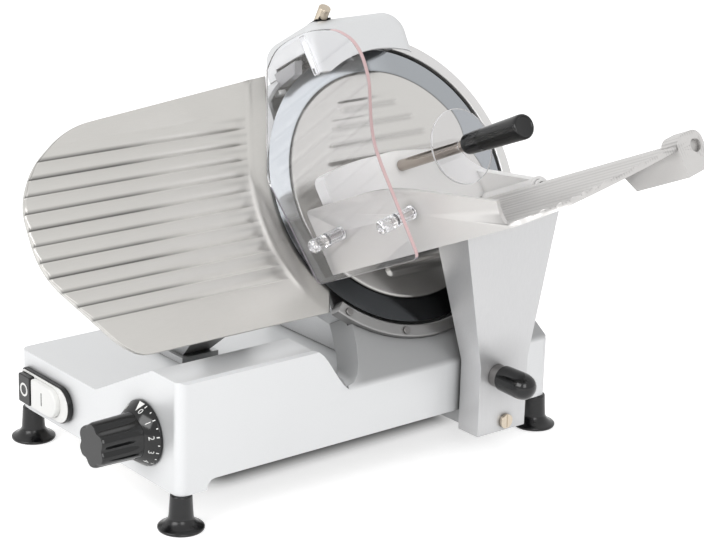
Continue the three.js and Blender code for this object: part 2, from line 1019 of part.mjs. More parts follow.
// The casing round the motor, standing on the deck behind the blade
function makeMotorCover() {
  const { halfWidth, top, depth, length, wall, corner, vent } = motorCover;
  const front = -housing.back - gap;
  const back = front - length;
  const bottom = top + depth;
  const outer = moved(prism(roundedBox(-halfWidth, halfWidth, -bottom, -top, corner, 5), 'z', back, front),
    bladeFrame);
  const inner = moved(
    prism(roundedBox(-halfWidth + wall, halfWidth - wall, -bottom, -top - wall, corner - wall, 5), 'z',
      back + wall, front + overrun),
    bladeFrame
  );
  const below = block(-2 * baseWidth, 2 * baseWidth, 0, 2 * baseLength, -bladeHeight, deckHeight + gap);
  const slots = [];
  for (let i = 0; i < motorCover.ventCount; i += 1) {
    const level = -top - motorCover.ventInset - i * motorCover.ventPitch;
    slots.push(moved(
      block(-halfWidth / 2, halfWidth / 2, level - vent / 2, level + vent / 2, back - overrun,
        back + wall + overrun),
      bladeFrame
    ));
  }
  return cut(outer, inner, below, ...slots);
}

// A curved sheet that turns the slices off the back of the blade
function makeDeflector() {
  const steps = 6;
  const { reach, thickness } = deflector;
  const outer = bladeRadius - deflector.margin;
  const inner = bladeRadius - housing.cutInset + gap;
  const front = -blade.back - 2 * gap;
  const outerCurve = [];
  const innerCurve = [];
  for (let i = 0; i <= steps; i += 1) {
    const angle = (Math.PI / 2) * (i / steps);
    const x = -outer + (outer - inner - thickness) * Math.sin(angle);
    const z = front - thickness - reach * (1 - Math.cos(angle));
    outerCurve.push([x, z]);
    innerCurve.unshift([x + thickness, z + thickness * Math.cos(angle)]);
  }
  return prism([...outerCurve, ...innerCurve], 'y', -deflector.halfLength, deflector.halfLength);
}

function makeHood() {
  const { left, right: rightEnd, front, back, wall, corner, edge } = hood;
  const top = bladeRadius + hood.rise;
  const bottom = bladeRadius - hood.skirt;
  const outline = (inset) => [
    ...arc(rightEnd - corner, top - corner, corner - inset, 0, 90, 5),
    ...arc(-left + corner, top - corner, corner - inset, 90, 180, 5),
    [-left + inset, bottom],
    [rightEnd - inset, bottom]
  ];
  const sideOutline = [
    [bottom, -back], [top - edge, -back], [top, -back + edge], [top, front - edge],
    [top - edge / 3, front - edge / 3], [top - edge, front], [bottom, front]
  ];
  const bevelled = prism(sideOutline, 'x', -left, rightEnd);
  const outer = prism(outline(0), 'z', -back, front).intersect(bevelled);
  const inner = prism(outline(wall), 'z', -back + wall, front - wall);
  const rim = bladeRadius + hood.rimClearance;
  const notchTop = bladeRadius - hood.notchDrop;
  const notch = prism([
    [bottom - overrun, -hood.notchBack], [notchTop, -hood.notchBack], [notchTop, hood.notchFront],
    [bottom - overrun, hood.notchFront]
  ], 'x', -left - overrun, -left + wall + overrun);
  return cut(
    outer, inner, notch,
    bar('z', bladeRadius - hood.rimShown, front - wall - overrun, front + overrun, 0, 0, 64),
    bar('z', ringOuter + gap, -ringGuard.back - gap, ringGuard.front + gap, 0, 0, 64),
    bar('z', rim, -ringGuard.back, front - wall - 1.5 * gap, 0, 0, 64),
    bar('z', housingRadius + gap, -back - overrun, -housing.front + gap, 0, 0, 64),
    moved(bar('z', pin.radius + 2 * gap, 0, pin.length + hood.wall, 0, 0, 16), pinFrame())
  );
}

function pinFrame() {
  const pitch = radians(pin.pitchDegrees);
  const out = new THREE.Vector3(0, Math.sin(pitch), Math.cos(pitch));
  const up = new THREE.Vector3(0, Math.cos(pitch), -Math.sin(pitch));
  return frameFrom(right, up, out, new THREE.Vector3(pin.x, bladeRadius + pin.rise, pin.z));
}

function makePin() {
  const stem = pin.radius / 2;
  const start = pin.length / 4;
  return moved(turned([
    [0, 0], [stem, 0], [stem, start], [pin.radius, start], [pin.radius, pin.length - pin.tip],
    [pin.radius - pin.tip, pin.length], [0, pin.length]
  ], 'z', 16), pinFrame());
}

function makeStone(x, z) {
  const profile = [
    [sharpener.spindleRadius + gap, 0], [sharpener.stoneRadius, 0],
    [sharpener.stoneRadius, sharpener.stoneWidth], [sharpener.spindleRadius + gap, sharpener.stoneWidth]
  ];
  return turned(profile, 'z', 24, x, bladeRadius + sharpener.stoneRise, z);
}

// A bent strap inside the hood that carries both stones on their spindles
function makeStoneBracket() {
  const { plate, plateFront, plateBack, plateMargin, spindleRadius } = sharpener;
  const stoneY = bladeRadius + sharpener.stoneRise;
  const plateBottom = bladeRadius - sharpener.plateDrop;
  const top = bladeRadius + hood.rise - hood.wall - gap;
  const low = sharpener.frontStoneX - plateMargin;
  const high = sharpener.rearStoneX + plateMargin;
  const strap = cut(
    block(low, high, plateBottom, top, -plateBack - plate, plateFront + plate),
    block(low - overrun, high + overrun, plateBottom - overrun, top - plate, -plateBack, plateFront)
  );
  const { frontStoneX, frontStoneZ, rearStoneX, rearStoneZ, stoneWidth } = sharpener;
  const frontPin = bar('z', spindleRadius, frontStoneZ, plateFront + plate / 2, frontStoneX, stoneY, 12);
  const rearEnd = -rearStoneZ + stoneWidth;
  const rearPin = bar('z', spindleRadius, -plateBack - plate / 2, rearEnd, rearStoneX, stoneY, 12);
  return join(strap, frontPin, rearPin);
}

// The plate's right side: straight from the top, then an arc round the blade
function gaugeSide(clear, topX, topY) {
  const reach = Math.hypot(topX, topY);
  const start = THREE.MathUtils.radToDeg(Math.atan2(topY, topX) + Math.acos(clear / reach));
  const end = 180 + THREE.MathUtils.radToDeg(Math.asin((gauge.arcEndShare * bladeRadius) / clear));
  return [[topX, topY], ...arc(0, 0, clear, start, end, 16)];
}

const gaugeTopRight = [-gauge.topRightShare * bladeRadius, gauge.topRightLevelShare * bladeRadius];
const gaugeBottomRight = [-gauge.bottomRightShare * bladeRadius, -gauge.bottomLevelShare * bladeRadius];

function gaugeOutline() {
  const [, bottom] = gaugeBottomRight;
  const bottomLeft = -gauge.left + gauge.bottomLeftInset;
  const corners = [
    gaugeTopRight,
    [-gauge.left + gauge.topLeftInset, gauge.topLeftLevel],
    [-gauge.left + gauge.upperLeftInset, gauge.upperLeftLevel],
    [-gauge.left, gauge.sideLevel],
    [-gauge.left, gauge.lowerSideLevel],
    [bottomLeft, bottom + gauge.bottomLeftRise],
    [bottomLeft + gauge.bottomStep, bottom],
    gaugeBottomRight
  ];
  const soft = rounded(corners, gauge.corner, 3).slice(4, -4);
  const side = gaugeSide(bladeRadius + gauge.bladeGap, ...gaugeTopRight);
  return [...soft, gaugeBottomRight, ...side.slice(1).reverse(), gaugeTopRight];
}

// A flat plate with a row of soft ridges that run out before the blade
function makeGaugePlate() {
  const back = -gauge.face - gauge.thickness;
  const face = -gauge.face;
  const sheet = prism(gaugeOutline(), 'z', back, face);
  const [, top] = gaugeTopRight;
  const [, bottom] = gaugeBottomRight;
  const crease = gaugeSide(bladeRadius + gauge.creaseMargin, -gauge.creaseTopShare * bladeRadius, top);
  const region = prism([
    ...crease, gaugeBottomRight, [-gauge.left, bottom], [-gauge.left, top]
  ], 'z', back, face + gauge.thickness);
  const ribs = [];
  for (let i = 0; i < gauge.ribCount; i += 1) {
    const y = gauge.ribTop - i * gauge.ribPitch;
    ribs.push(prism([
      [y - gauge.ribEdge, face - gap], [y - gauge.ribEdge, face], [y, face + gauge.ribHeight],
      [y + gauge.ribCrown, face + gauge.ribHeight], [y + gauge.ribWidth, face],
      [y + gauge.ribWidth, face - gap]
    ], 'x', -gauge.left, 0));
  }
  const outline = prism(gaugeOutline(), 'z', back, face + gauge.thickness);
  return join(sheet, join(...ribs).intersect(outline).intersect(region));
}

// The cast bracket that carries the gauge plate on the bar inside the base
function makeGaugeBracket() {
  const toBench = (x, y, z) => new THREE.Vector3(x, y, z).applyMatrix4(bladeFrame).toArray();
  const padFront = -gauge.face - gauge.thickness - gap;
  const padBack = padFront - bracket.padThickness;
  const pad = [];
  for (const x of [-bracket.padLeft, -bracket.padRight]) {
    for (const y of [bracket.padTop, bracket.padBottom]) {
      pad.push(toBench(x, y, padFront), toBench(x, y, padBack));
    }
  }
  const low = deckHeight + gap;
  const footTop = low + bracket.footThickness;
  const footPad = [];
  for (const x of [-bracket.footLeft, -bracket.footRight - bracket.footThickness]) {
    for (const y of [bracket.footFront, bracket.footBack]) footPad.push([x, y, low], [x, y, footTop]);
  }
  const neck = [];
  for (const x of [-bracket.hubLeft, -bracket.hubRight - bracket.footThickness]) {
    for (const y of [bracket.footFront + bracket.padBosses, bracket.footBack - bracket.padBosses]) {
      neck.push([x, y, footTop - 1.2 * gap]);
    }
  }
  const lowerPad = pad.filter((point, index) => index % 4 > 1);
  const upright = cut(
    join(hull(pad), hull([...neck, ...lowerPad])),
    ridgeSolid(-gap)
  );
  const [hubLeft, hubRight] = [-bracket.hubLeft, -bracket.hubRight];
  const hub = bar('x', bracket.hubRadius, hubLeft, hubRight, bracket.y, barHeight, 24);
  const post = block(hubLeft, hubRight - bracket.padBosses, bracket.postFront, bracket.postBack,
    barHeight, footTop);
  const half = bracket.armHeight / 2;
  const reach = block(hubRight - bracket.armWidth, hubRight, bracket.armFront, bracket.y,
    dialHeight - half, dialHeight + half);
  const pinX = -dial.x - cam.grooveStart;
  const follower = block(hubRight - bracket.armWidth, pinX + half, bracket.armFront, bracket.armBack,
    dialHeight - half, dialHeight + half);
  const followerPin = bar('y', cam.pinRadius, cam.back - cam.grooveDepth + 2 * gap, bracket.armBack, pinX,
    dialHeight, 12);
  const joined = join(upright, hull(footPad), hub, post, reach, follower, followerPin);
  return cut(
    joined,
    bar('x', bracket.barRadius + gap, -2 * bracket.hubLeft, 0, bracket.y, barHeight, 24)
  );
}

// The dial and lobed grip that set the slice thickness
function makeThicknessKnob() {
  const { radius, rim, coneRadius, coneLength, gripRadius, gripLength, gripTaper, lobes } = dial;
  const face = -gap;
  const skirt = turned([
    [0, face], [radius, face], [radius, face - rim], [coneRadius, face - coneLength], [0, face - coneLength]
  ], 'y', 40, -dial.x, 0, dialHeight);
  const end = face - coneLength - gripLength;
  const grip = turned([
    [0, face - rim], [gripRadius + gripTaper, face - rim], [gripRadius, end + 2 * gripTaper],
    [gripRadius - 2 * gripTaper, end], [0, end]
  ], 'y', 36, -dial.x, 0, dialHeight);
  const flutes = [];
  for (let i = 0; i < lobes; i += 1) {
    const angle = (2 * Math.PI * (i + 0.5)) / lobes;
    const reach = gripRadius + dial.fluteRadius - dial.fluteDepth;
    const x = -dial.x + reach * Math.cos(angle);
    const z = dialHeight + reach * Math.sin(angle);
    flutes.push(bar('y', dial.fluteRadius, end - overrun, face - coneLength, x, z, 16));
  }
  return join(skirt, cut(grip, ...flutes));
}

// The knob's shaft, with the scroll cam whose groove moves the gauge plate
function makeThicknessCam() {
  const shaft = bar('y', dial.shaftRadius, 0, dial.shaftEnd, -dial.x, dialHeight, 16);
  const disc = bar('y', cam.radius, cam.front, cam.back, -dial.x, dialHeight, 40);
  const half = cam.pinRadius + gap;
  const floor = cam.back - cam.grooveDepth;
  const spot = (share, offset) => {
    const angle = Math.PI - radians(thicknessTurnDegrees) * share;
    const reach = cam.grooveStart + thicknessTravel * share + offset;
    return [-dial.x + reach * Math.cos(angle), dialHeight + reach * Math.sin(angle)];
  };
  const outerSide = [];
  const innerSide = [];
  for (let i = 0; i <= cam.steps; i += 1) {
    outerSide.push(spot(i / cam.steps, half));
    innerSide.unshift(spot(i / cam.steps, -half));
  }
  const groove = prism([...outerSide, ...innerSide], 'y', floor, cam.back + overrun);
  const ends = [0, 1].map((share) =>
    bar('y', half + gap / 2, floor, cam.back + overrun, ...spot(share, 0), 16));
  const centre = bar('y', 2 * half, cam.back, cam.back + overrun, -dial.x, dialHeight);
  return cut(join(shaft, disc), groove, ...ends, centre);
}

// The switch's opening in the front wall, narrowed all round by a clearance
function switchBody(clear) {
  const { sideInset, width, height, rim, corner } = switchBox;
  const middle = wallMiddle - switchBox.lowered;
  return {
    left: -baseWidth + sideInset + rim + clear,
    right: -baseWidth + sideInset + width - rim - corner - clear,
    bottom: middle - height / 2 + rim + clear,
    top: middle + height / 2 - rim - clear
  };
}

function bezelOutline(inset) {
  const { corner, sideInset, width, height } = switchBox;
  const left = -baseWidth + sideInset;
  const half = height / 2;
  const middle = wallMiddle - switchBox.lowered;
  return [
    ...arc(left + width - half, middle, half - inset, -90, 90, 10),
    ...arc(left + corner, middle + half - corner, corner - inset, 90, 180, 3),
    ...arc(left + corner, middle - half + corner, corner - inset, 180, 270, 3)
  ];
}

function buttonOutline(name, clear) {
  const { offWidth, onWidth, sideInset, height, rim, corner } = switchBox;
  const left = -baseWidth + sideInset;
  const split = left + offWidth;
  const middle = wallMiddle - switchBox.lowered;
  const half = height / 2 - rim + clear;
  const [low, high] = [middle - half, middle + half];
  if (name === 'off') {
    return roundedBox(left + rim - clear, split - rim / 4 + clear, low, high, corner / 2, 2);
  }
  return [
    ...arc(split + onWidth - half + clear, middle, half, -90, 90, 10),
    [split + rim / 4 - clear, high],
    [split + rim / 4 - clear, low]
  ];
}

function makeBezel() {
  const plate = prism(bezelOutline(0), 'y', -switchBox.proud, -gap);
  const fit = switchBody(gap);
  const body = block(fit.left, fit.right, -switchBox.proud / 2, switchBox.depth, fit.bottom, fit.top);
  const depth = switchBox.buttonLength - switchBox.buttonProud + switchBox.travel - switchBox.proud;
  const pockets = ['off', 'on'].map((name) =>
    prism(buttonOutline(name, gap), 'y', -switchBox.proud - overrun, depth + gap));
  return cut(join(plate, body), ...pockets);
}

function makeButton(name) {
  const front = -switchBox.proud - switchBox.buttonProud;
  const back = front + switchBox.buttonLength;
  const edge = switchBox.rim / 2;
  const crown = prism(buttonOutline(name, 0), 'y', front + edge, back);
  const face = prism(buttonOutline(name, -edge), 'y', front, front + edge + gap);
  return join(crown, face);
}

// The arm that rises from the slide to the tray
function makeArm() {
  const { inner, outer, bottom, crease, topOuter, wall } = arm;
  const [front, back] = [fromAxis(arm.front), fromAxis(arm.back)];
  const [topFront, topBack] = [fromAxis(arm.topFront), fromAxis(arm.topBack)];
  const top = bladeHeight + arm.topRise;
  const ring = (outerX, frontY, backY, inset, z) =>
    [inner, outerX - inset].flatMap((x) => [frontY + inset, backY - inset].map((y) => [x, y, z]));
  const column = (inset, low) =>
    hull([...ring(outer, front, back, inset, low), ...ring(outer, front, back, inset, crease)]);
  const wing = (inset) =>
    hull([...ring(outer, front, back, inset, crease), ...ring(topOuter, topFront, topBack, inset, top)]);
  const overTray = (y, z) =>
    moved(block(-tray.length, 2 * tray.length, y, 2 * tray.width, z, tray.length), trayFrame);
  const underTray = overTray(-tray.width, -tray.floor - gap);
  const rodRoom = overTray(rod.y - rod.room, rod.z - rod.room);
  const solid = cut(join(column(0, bottom), wing(0)), underTray, rodRoom);
  const knobY = fromAxis(lockKnob.back);
  const pocketColumn = cut(column(wall, bottom + arm.pocketRise), block(
    -outer, 2 * outer, knobY - 2 * lockKnob.radius, knobY + 2 * lockKnob.radius,
    lockKnob.height - arm.bossHalf, lockKnob.height + arm.bossHalf
  ));
  const belowTop = overTray(-tray.width, -tray.floor - wall - gap);
  const pocket = shifted(cut(join(pocketColumn, wing(wall)), belowTop), -wall, 0, 0);
  return cut(
    solid, pocket,
    bar('x', armScrew.shank + gap, 0, outer + overrun, fromAxis(armScrew.back), armScrew.height, 16),
    bar('x', lockKnob.pocket / 2 + gap, outer - lockKnob.pocket * 2, outer + overrun, knobY,
      lockKnob.height, 16)
  );
}

const rollerHeight = rail.bottom - gap - roller.radius;
const slideMiddle = fromAxis((slide.front + slide.back) / 2);

function makeSlideBlock() {
  const { left, right: rightEnd, bottom, top, housingRadius: barrelRadius, webHalf } = slide;
  const [front, back] = [fromAxis(slide.front), fromAxis(slide.back)];
  const plate = block(-left, rightEnd, front, back, bottom, top);
  const shoulder = block(-rail.x - webHalf, -rail.x + webHalf, front, back, top - gap, rail.height);
  const barrel = bar('y', barrelRadius, front, back, -rail.x, rail.height, 28);
  const room = block(
    -roller.x - roller.width / 2 - gap, -roller.x + roller.width / 2 + gap,
    slideMiddle - roller.radius - 2 * gap, slideMiddle + roller.radius + 2 * gap,
    rollerHeight - roller.radius - 2 * gap, top + overrun
  );
  const screwHole = bar('x', armScrew.shank + gap, rightEnd - armScrew.length, rightEnd + overrun,
    fromAxis(armScrew.back), armScrew.height, 16);
  return cut(
    join(plate, shoulder, barrel), room, screwHole,
    bar('y', rail.radius + gap, front - overrun, back + overrun, -rail.x, rail.height, 28),
    bar('x', roller.axle + gap, -left - overrun, -roller.x + 3 * roller.earHalf + roller.width,
      slideMiddle, rollerHeight, 12)
  );
}

function makeRollerAxle() {
  return bar('x', roller.axle, -slide.left, -roller.x + 3 * roller.earHalf, slideMiddle, rollerHeight, 12);
}

function makeRoller() {
  return tube('x', roller.axle + gap, roller.radius, -roller.x - roller.width / 2,
    -roller.x + roller.width / 2, slideMiddle, rollerHeight, 20);
}

function makeRail() {
  const start = base.webBack + gap - base.railSeat;
  return bar('y', rail.radius, start, baseLength - sheetThickness - gap, -rail.x, rail.height, 24);
}

function makeRollerTrack() {
  return block(-rail.left, -rail.right, base.webBack + gap, baseLength - sheetThickness - gap, rail.bottom,
    rail.top);
}

function makeLockShaft() {
  const start = arm.outer + gap;
  const y = fromAxis(lockKnob.back);
  const end = start + lockKnob.collarLength;
  const collar = bar('x', lockKnob.collarRadius, start, end, y, lockKnob.height, 28);
  const stud = bar('x', lockKnob.pocket / 2, arm.outer - lockKnob.pocket, end + gap, y, lockKnob.height, 16);
  return join(collar, stud);
}

function makeLockCap() {
  const start = arm.outer + 2 * gap + lockKnob.collarLength;
  const { radius, length, edge } = lockKnob;
  const dome = arc(0, length, radius, 0, 90, 6).slice(0, -1);
  const profile = [[0, gap], [radius - edge, gap], [radius, edge + gap], ...dome, [0, length + radius]];
  return turned(profile, 'x', 28, start, fromAxis(lockKnob.back), lockKnob.height);
}

function makeArmScrew() {
  const start = arm.outer + gap;
  const end = start + armScrew.head;
  const { radius, height, slotWidth } = armScrew;
  const y = fromAxis(armScrew.back);
  const head = bar('x', radius, start, end, y, height, 24);
  const shank = bar('x', armScrew.shank, slide.right - armScrew.length / 2, start + gap, y, height, 16);
  const slot = block(
    end - armScrew.slotDepth, end + overrun, y - slotWidth / 2, y + slotWidth / 2,
    height - 2 * radius, height + 2 * radius
  );
  return cut(join(head, shank), slot);
}

// The ribbed tray floor with its near wall and the lugs of the pusher's rod
function makeTray() {
  const nose = new THREE.SplineCurve([
    new THREE.Vector2(tray.length, 0), new THREE.Vector2(tray.noseNearX, tray.noseNearY),
    new THREE.Vector2(tray.noseMidX, tray.noseMidY),
    new THREE.Vector2(tray.noseFarX, (tray.noseMidY + tray.width) / 2),
    new THREE.Vector2(tray.noseFarX, tray.width)
  ]).getPoints(12).map((point) => [point.x, point.y]);
  const outline = [[0, 0], ...nose, [0, tray.width]];
  const floor = prism(outline, 'z', -tray.floor, 0);
  const section = [];
  for (let i = 0; i < tray.ribCount; i += 1) {
    const y = tray.ribStart + i * tray.ribPitch;
    section.push(prism([
      [y - tray.ribHalf, -gap], [y + tray.ribHalf, -gap], [y + tray.ribHalf, 0], [y, tray.ribHeight],
      [y - tray.ribHalf, 0]
    ], 'x', 0, 2 * tray.length));
  }
  const ribs = join(...section).intersect(prism(outline, 'z', -tray.floor, tray.floor));
  const wallCurve = new THREE.QuadraticBezierCurve(
    new THREE.Vector2(tray.wallEndX, tray.wallEndHeight), new THREE.Vector2(tray.hookX, 0),
    new THREE.Vector2(tray.length, -tray.floor)
  ).getPoints(6).map((point) => [point.x, point.y]).reverse();
  const wall = prism([
    [0, -tray.floor], ...wallCurve, [tray.wallKneeX, tray.wallKneeHeight],
    ...rounded([
      [tray.wallKneeX, tray.wallKneeHeight], [tray.wallLevel, tray.wallHeight], [0, tray.wallHeight]
    ], tray.wallKneeX / 5, 4).slice(5, 10),
    ...arc(tray.wall, tray.wallHeight - tray.wall, tray.wall, 90, 180, 3)
  ], 'y', 0, tray.wall);
  const inward = tray.width - 2 * tray.wall;
  const nearLug = block(0, rod.lugNear, inward, rod.lugOuter, rod.lugBottom, rod.lugTop);
  const farLug = prism([
    [rod.skirtStart, -tray.floor], [rod.skirtSlope, rod.skirtBottom], [rod.end, rod.skirtBottom],
    [rod.end, rod.lugTop], [rod.lugFar, rod.lugTop], [rod.lugFar, -tray.floor + gap]
  ], 'y', inward, rod.lugOuter);
  const rodWay = block(rod.skirtStart - overrun, rod.lugFar, rod.y - rod.room, rod.lugOuter + overrun,
    rod.z - rod.room, rod.lugTop + overrun);
  const { lugOuter, lugTop, lugRound, skirtBottom } = rod;
  const lugEnd = prism([
    ...arc(lugOuter - lugRound, lugTop - lugRound, lugRound, 0, 90, 6),
    ...arc(inward + lugRound, lugTop - lugRound, lugRound, 90, 180, 6),
    [inward, 2 * skirtBottom], [lugOuter, 2 * skirtBottom]
  ], 'x', -overrun, 2 * tray.length);
  const lugs = join(nearLug, cut(farLug, rodWay)).intersect(lugEnd);
  return cut(
    join(floor, ribs, wall, lugs),
    bar('x', rod.radius + gap, -overrun, rod.lugFar + tray.wall, rod.y, rod.z, 20),
    bar('x', rod.holeRadius, rod.end - tray.wall, rod.end + overrun, rod.y, rod.z, 20),
    ...[pillar.nearX, pillar.farX].map((x) =>
      bar('y', pillar.screw + gap, -overrun, tray.wall + overrun, x, pillar.z, 12))
  );
}

function makeRod() {
  return bar('x', rod.radius, gap, rod.lugFar + tray.wall - gap, rod.y, rod.z, 20);
}

function makeSleeve() {
  return tube('x', rod.radius + gap, pusher.sleeveOuter, pusher.near, pusher.sleeveEnd, rod.y, rod.z, 24);
}

// The pusher: a shallow cast plate with its hub round the sleeve
function makePusher() {
  const outline = [
    [pusher.sideNear, pusher.bottom], [rod.y, pusher.bottom], [pusher.endY, pusher.bottom],
    [pusher.endY, pusher.endZ], [pusher.slopeY, pusher.slopeZ], [pusher.shoulderY, pusher.shoulderZ],
    [pusher.topNear, pusher.top], [pusher.sideNear, pusher.top]
  ];
  const plate = prism(rounded(outline, 2 * pusher.wall, 3), 'x', pusher.near, pusher.far);
  const centre = outline.reduce(([a, b], [y, z]) => [a + y / outline.length, b + z / outline.length], [0, 0]);
  const shrink = (pusher.top - 2 * pusher.wall) / pusher.top;
  const insideShape = rounded(outline.map(([y, z]) => [
    centre[0] + (y - centre[0]) * shrink, centre[1] + (z - centre[1]) * shrink
  ]), pusher.wall, 2);
  const dish = prism(insideShape, 'x', pusher.near - overrun, pusher.far - pusher.wall);
  const hub = bar('x', pusher.hubOuter, pusher.near + gap, pusher.hubEnd, rod.y, rod.z, 28);
  const gusset = prism([
    [pusher.far - gap, pusher.bottom], [pusher.hubEnd, pusher.bottom], [pusher.far - gap, pusher.gussetTop]
  ], 'y', rod.y - pusher.gussetHalf, rod.y + pusher.gussetHalf);
  const web = block(pusher.near + gap, pusher.hubEnd, rod.y - pusher.gussetHalf, rod.y + pusher.gussetHalf,
    rod.z, pusher.bottom + gap);
  const bossStart = pusher.near + pusher.wall;
  const boss = bar('x', handle.bossRadius, bossStart, pusher.far, handle.y, handle.z, 20);
  return cut(
    join(cut(plate, dish), hub, gusset, web, boss),
    bar('x', pusher.sleeveOuter + gap, 0, pusher.hubEnd + overrun, rod.y, rod.z, 24),
    bar('x', handle.tenon + gap, pusher.near, pusher.far + overrun, handle.y, handle.z, 16)
  );
}

function makeHandleShaft() {
  const { shaftRadius, shaftEnd, tenon, tenonLength, y, z } = handle;
  return turned([
    [0, pusher.far - tenonLength + gap], [tenon, pusher.far - tenonLength + gap], [tenon, pusher.far + gap],
    [shaftRadius, pusher.far + gap], [shaftRadius, shaftEnd], [tenon, shaftEnd],
    [tenon, shaftEnd + handle.gripLength / 2], [0, shaftEnd + handle.gripLength / 2]
  ], 'x', 20, 0, y, z);
}

function makeGrip() {
  const { shaftEnd, gripStart, gripEnd, gripLength, tenon, y, z } = handle;
  const start = shaftEnd + gap;
  const end = start + gripLength;
  const soft = gripEnd / 8;
  const bottom = start + gripLength / 2 + gap;
  return turned([
    [tenon + gap, start], [gripStart - soft, start], [gripStart, start + soft], [gripEnd, end - soft],
    [gripEnd - soft, end], [0, end], [0, bottom], [tenon + gap, bottom]
  ], 'x', 28, 0, y, z);
}

function makeThumbGuard() {
  const { discX, discThickness, discRadius, shaftRadius, y, z } = handle;
  return tube('x', shaftRadius + gap, discRadius, discX, discX + discThickness, y, z, 40);
}

function makeHandGuard() {
  const g = handGuard;
  const edge = new THREE.SplineCurve([
    [g.topLeftX, g.topLeftZ], [g.topX, g.topZ], [g.topRightX, g.topRightZ], [g.bulgeX, g.bulgeZ],
    [g.waistX, g.waistZ], [g.rightX, g.rightZ]
  ].map(([x, z]) => new THREE.Vector2(x, z))).getPoints(24).map((point) => [point.x, point.y]);
  const corners = rounded([
    [g.rightX, g.rightZ], [g.rightX, g.bottom], [g.nearX, g.bottom], [g.cornerX, g.cornerZ],
    [g.topLeftX, g.topLeftZ]
  ], g.corner, 4);
  const soft = corners.slice(5, -5);
  const sheet = prism([...edge.slice(0, -1), [g.rightX, g.rightZ], ...soft], 'y', -g.y, -g.y + g.thickness);
  const bead = block(g.beadX, g.beadX + g.beadWidth, -g.y - g.thickness, -g.y + g.thickness / 2,
    g.topLeftZ - g.beadLength, g.topLeftZ);
  return cut(
    join(sheet, bead),
    ...[pillar.nearX, pillar.farX].map((x) =>
      bar('y', pillar.screw + gap, -g.y - overrun, -g.y + g.thickness + overrun, x, pillar.z, 12))
  );
}

function makeSpacer(x) {
  const back = -handGuard.y + handGuard.thickness + gap;
  return tube('y', pillar.screw + gap, pillar.radius, back, -gap, x, pillar.z, 16);
}

// A clear clamping knob with a fluted barrel and a domed head, and the screw moulded into it
function makeGuardKnob(x) {
  const { knob, knobLength, waist, screw, facets, z } = pillar;
  const back = -handGuard.y - gap;
  const end = back - knobLength;
  return turned([
    [0, end], [knob * 0.6, end], [knob, end + knob * 0.5], [knob, end + knob], [waist, end + knob * 1.1],
    [waist, back], [screw, back], [screw, tray.wall], [0, tray.wall]
  ], 'y', facets, x, 0, z);
}

function makeBoard() {
  const top = deckHeight - sheetThickness - board.drop;
  const left = -baseWidth + board.sideInset;
  const [front, back] = [board.front, board.front + board.length];
  const plate = block(left, left + board.width, front, back, top - board.thickness, top);
  const posts = [];
  for (const x of [left + 2 * board.post, left + board.width - 2 * board.post]) {
    for (const y of [front + 2 * board.post, back - 2 * board.post]) {
      posts.push(bar('z', board.post, top - gap, deckHeight - sheetThickness - gap, x, y, 8));
    }
  }
  return join(plate, ...posts);
}

// The motor's capacitor, with the clip that hangs it under the deck
function makeCapacitor() {
  const x = -baseWidth + capacitor.fromLeft;
  const z = baseBottom + capacitor.rise;
  const end = baseLength - capacitor.rearInset;
  const can = bar('y', capacitor.radius, end - capacitor.length, end, x, z);
  const high = end - capacitor.length / 3;
  const low = high - capacitor.radius;
  const strap = bar('y', capacitor.radius + capacitor.clip, low, high, x, z);
  const half = capacitor.radius / 3;
  const stem = block(x - half, x + half, low, high, z, deckHeight - sheetThickness - gap);
  return join(can, strap, stem);
}

function makeGland() {
  const wall = baseLength - sheetThickness;
  return turned([
    [gland.bore, wall - gland.nutLength], [gland.nut, wall - gland.nutLength], [gland.nut, wall - gap],
    [gland.radius, wall - gap], [gland.radius, baseLength + gap], [gland.nut, baseLength + gap],
    [gland.nut, baseLength + gland.nutLength], [gland.radius - gap, baseLength + gland.length],
    [gland.bore, baseLength + gland.length]
  ], 'y', 20, -baseWidth + gland.fromLeft, 0, wallMiddle);
}

function add(group, name, solid, material) {
  group.add(meshFrom(name, solid, material));
}

// The base and what it carries
add(bench, 'base_housing', makeBase(), castAluminium());
add(bench, 'bottom_cover', makeBottomCover(), brushedAluminium());
const footNames = ['foot_front_right', 'foot_front_left', 'foot_rear_right', 'foot_rear_left'];
footPlaces().forEach(([x, y], index) => {
  const mesh = meshFrom(footNames[index], makeFoot(), blackRubber());
  mesh.position.set(x, y, 0);
  bench.add(mesh);
});
add(bench, 'switch_bezel', makeBezel(), blackPlastic());
add(bench, 'off_button', makeButton('off'), blackPlastic());
add(bench, 'on_button', makeButton('on'), whitePlastic());
add(bench, 'thickness_knob', makeThicknessKnob(), blackPlastic());
add(bench, 'thickness_cam', makeThicknessCam(), polishedSteel());
add(bench, 'gauge_guide_bar', bar('x', bracket.barRadius, -baseWidth + sheetThickness + gap,
  -bracket.lugRight, bracket.y, barHeight, 24), polishedSteel());
add(bench, 'gauge_bracket', makeGaugeBracket(), castAluminium());
add(onBlade, 'gauge_plate', makeGaugePlate(), brushedAluminium());
add(bench, 'control_board', makeBoard(), boardGreen());
add(bench, 'motor_capacitor', makeCapacitor(), darkSteel());
add(bench, 'cable_gland', makeGland(), blackPlastic());

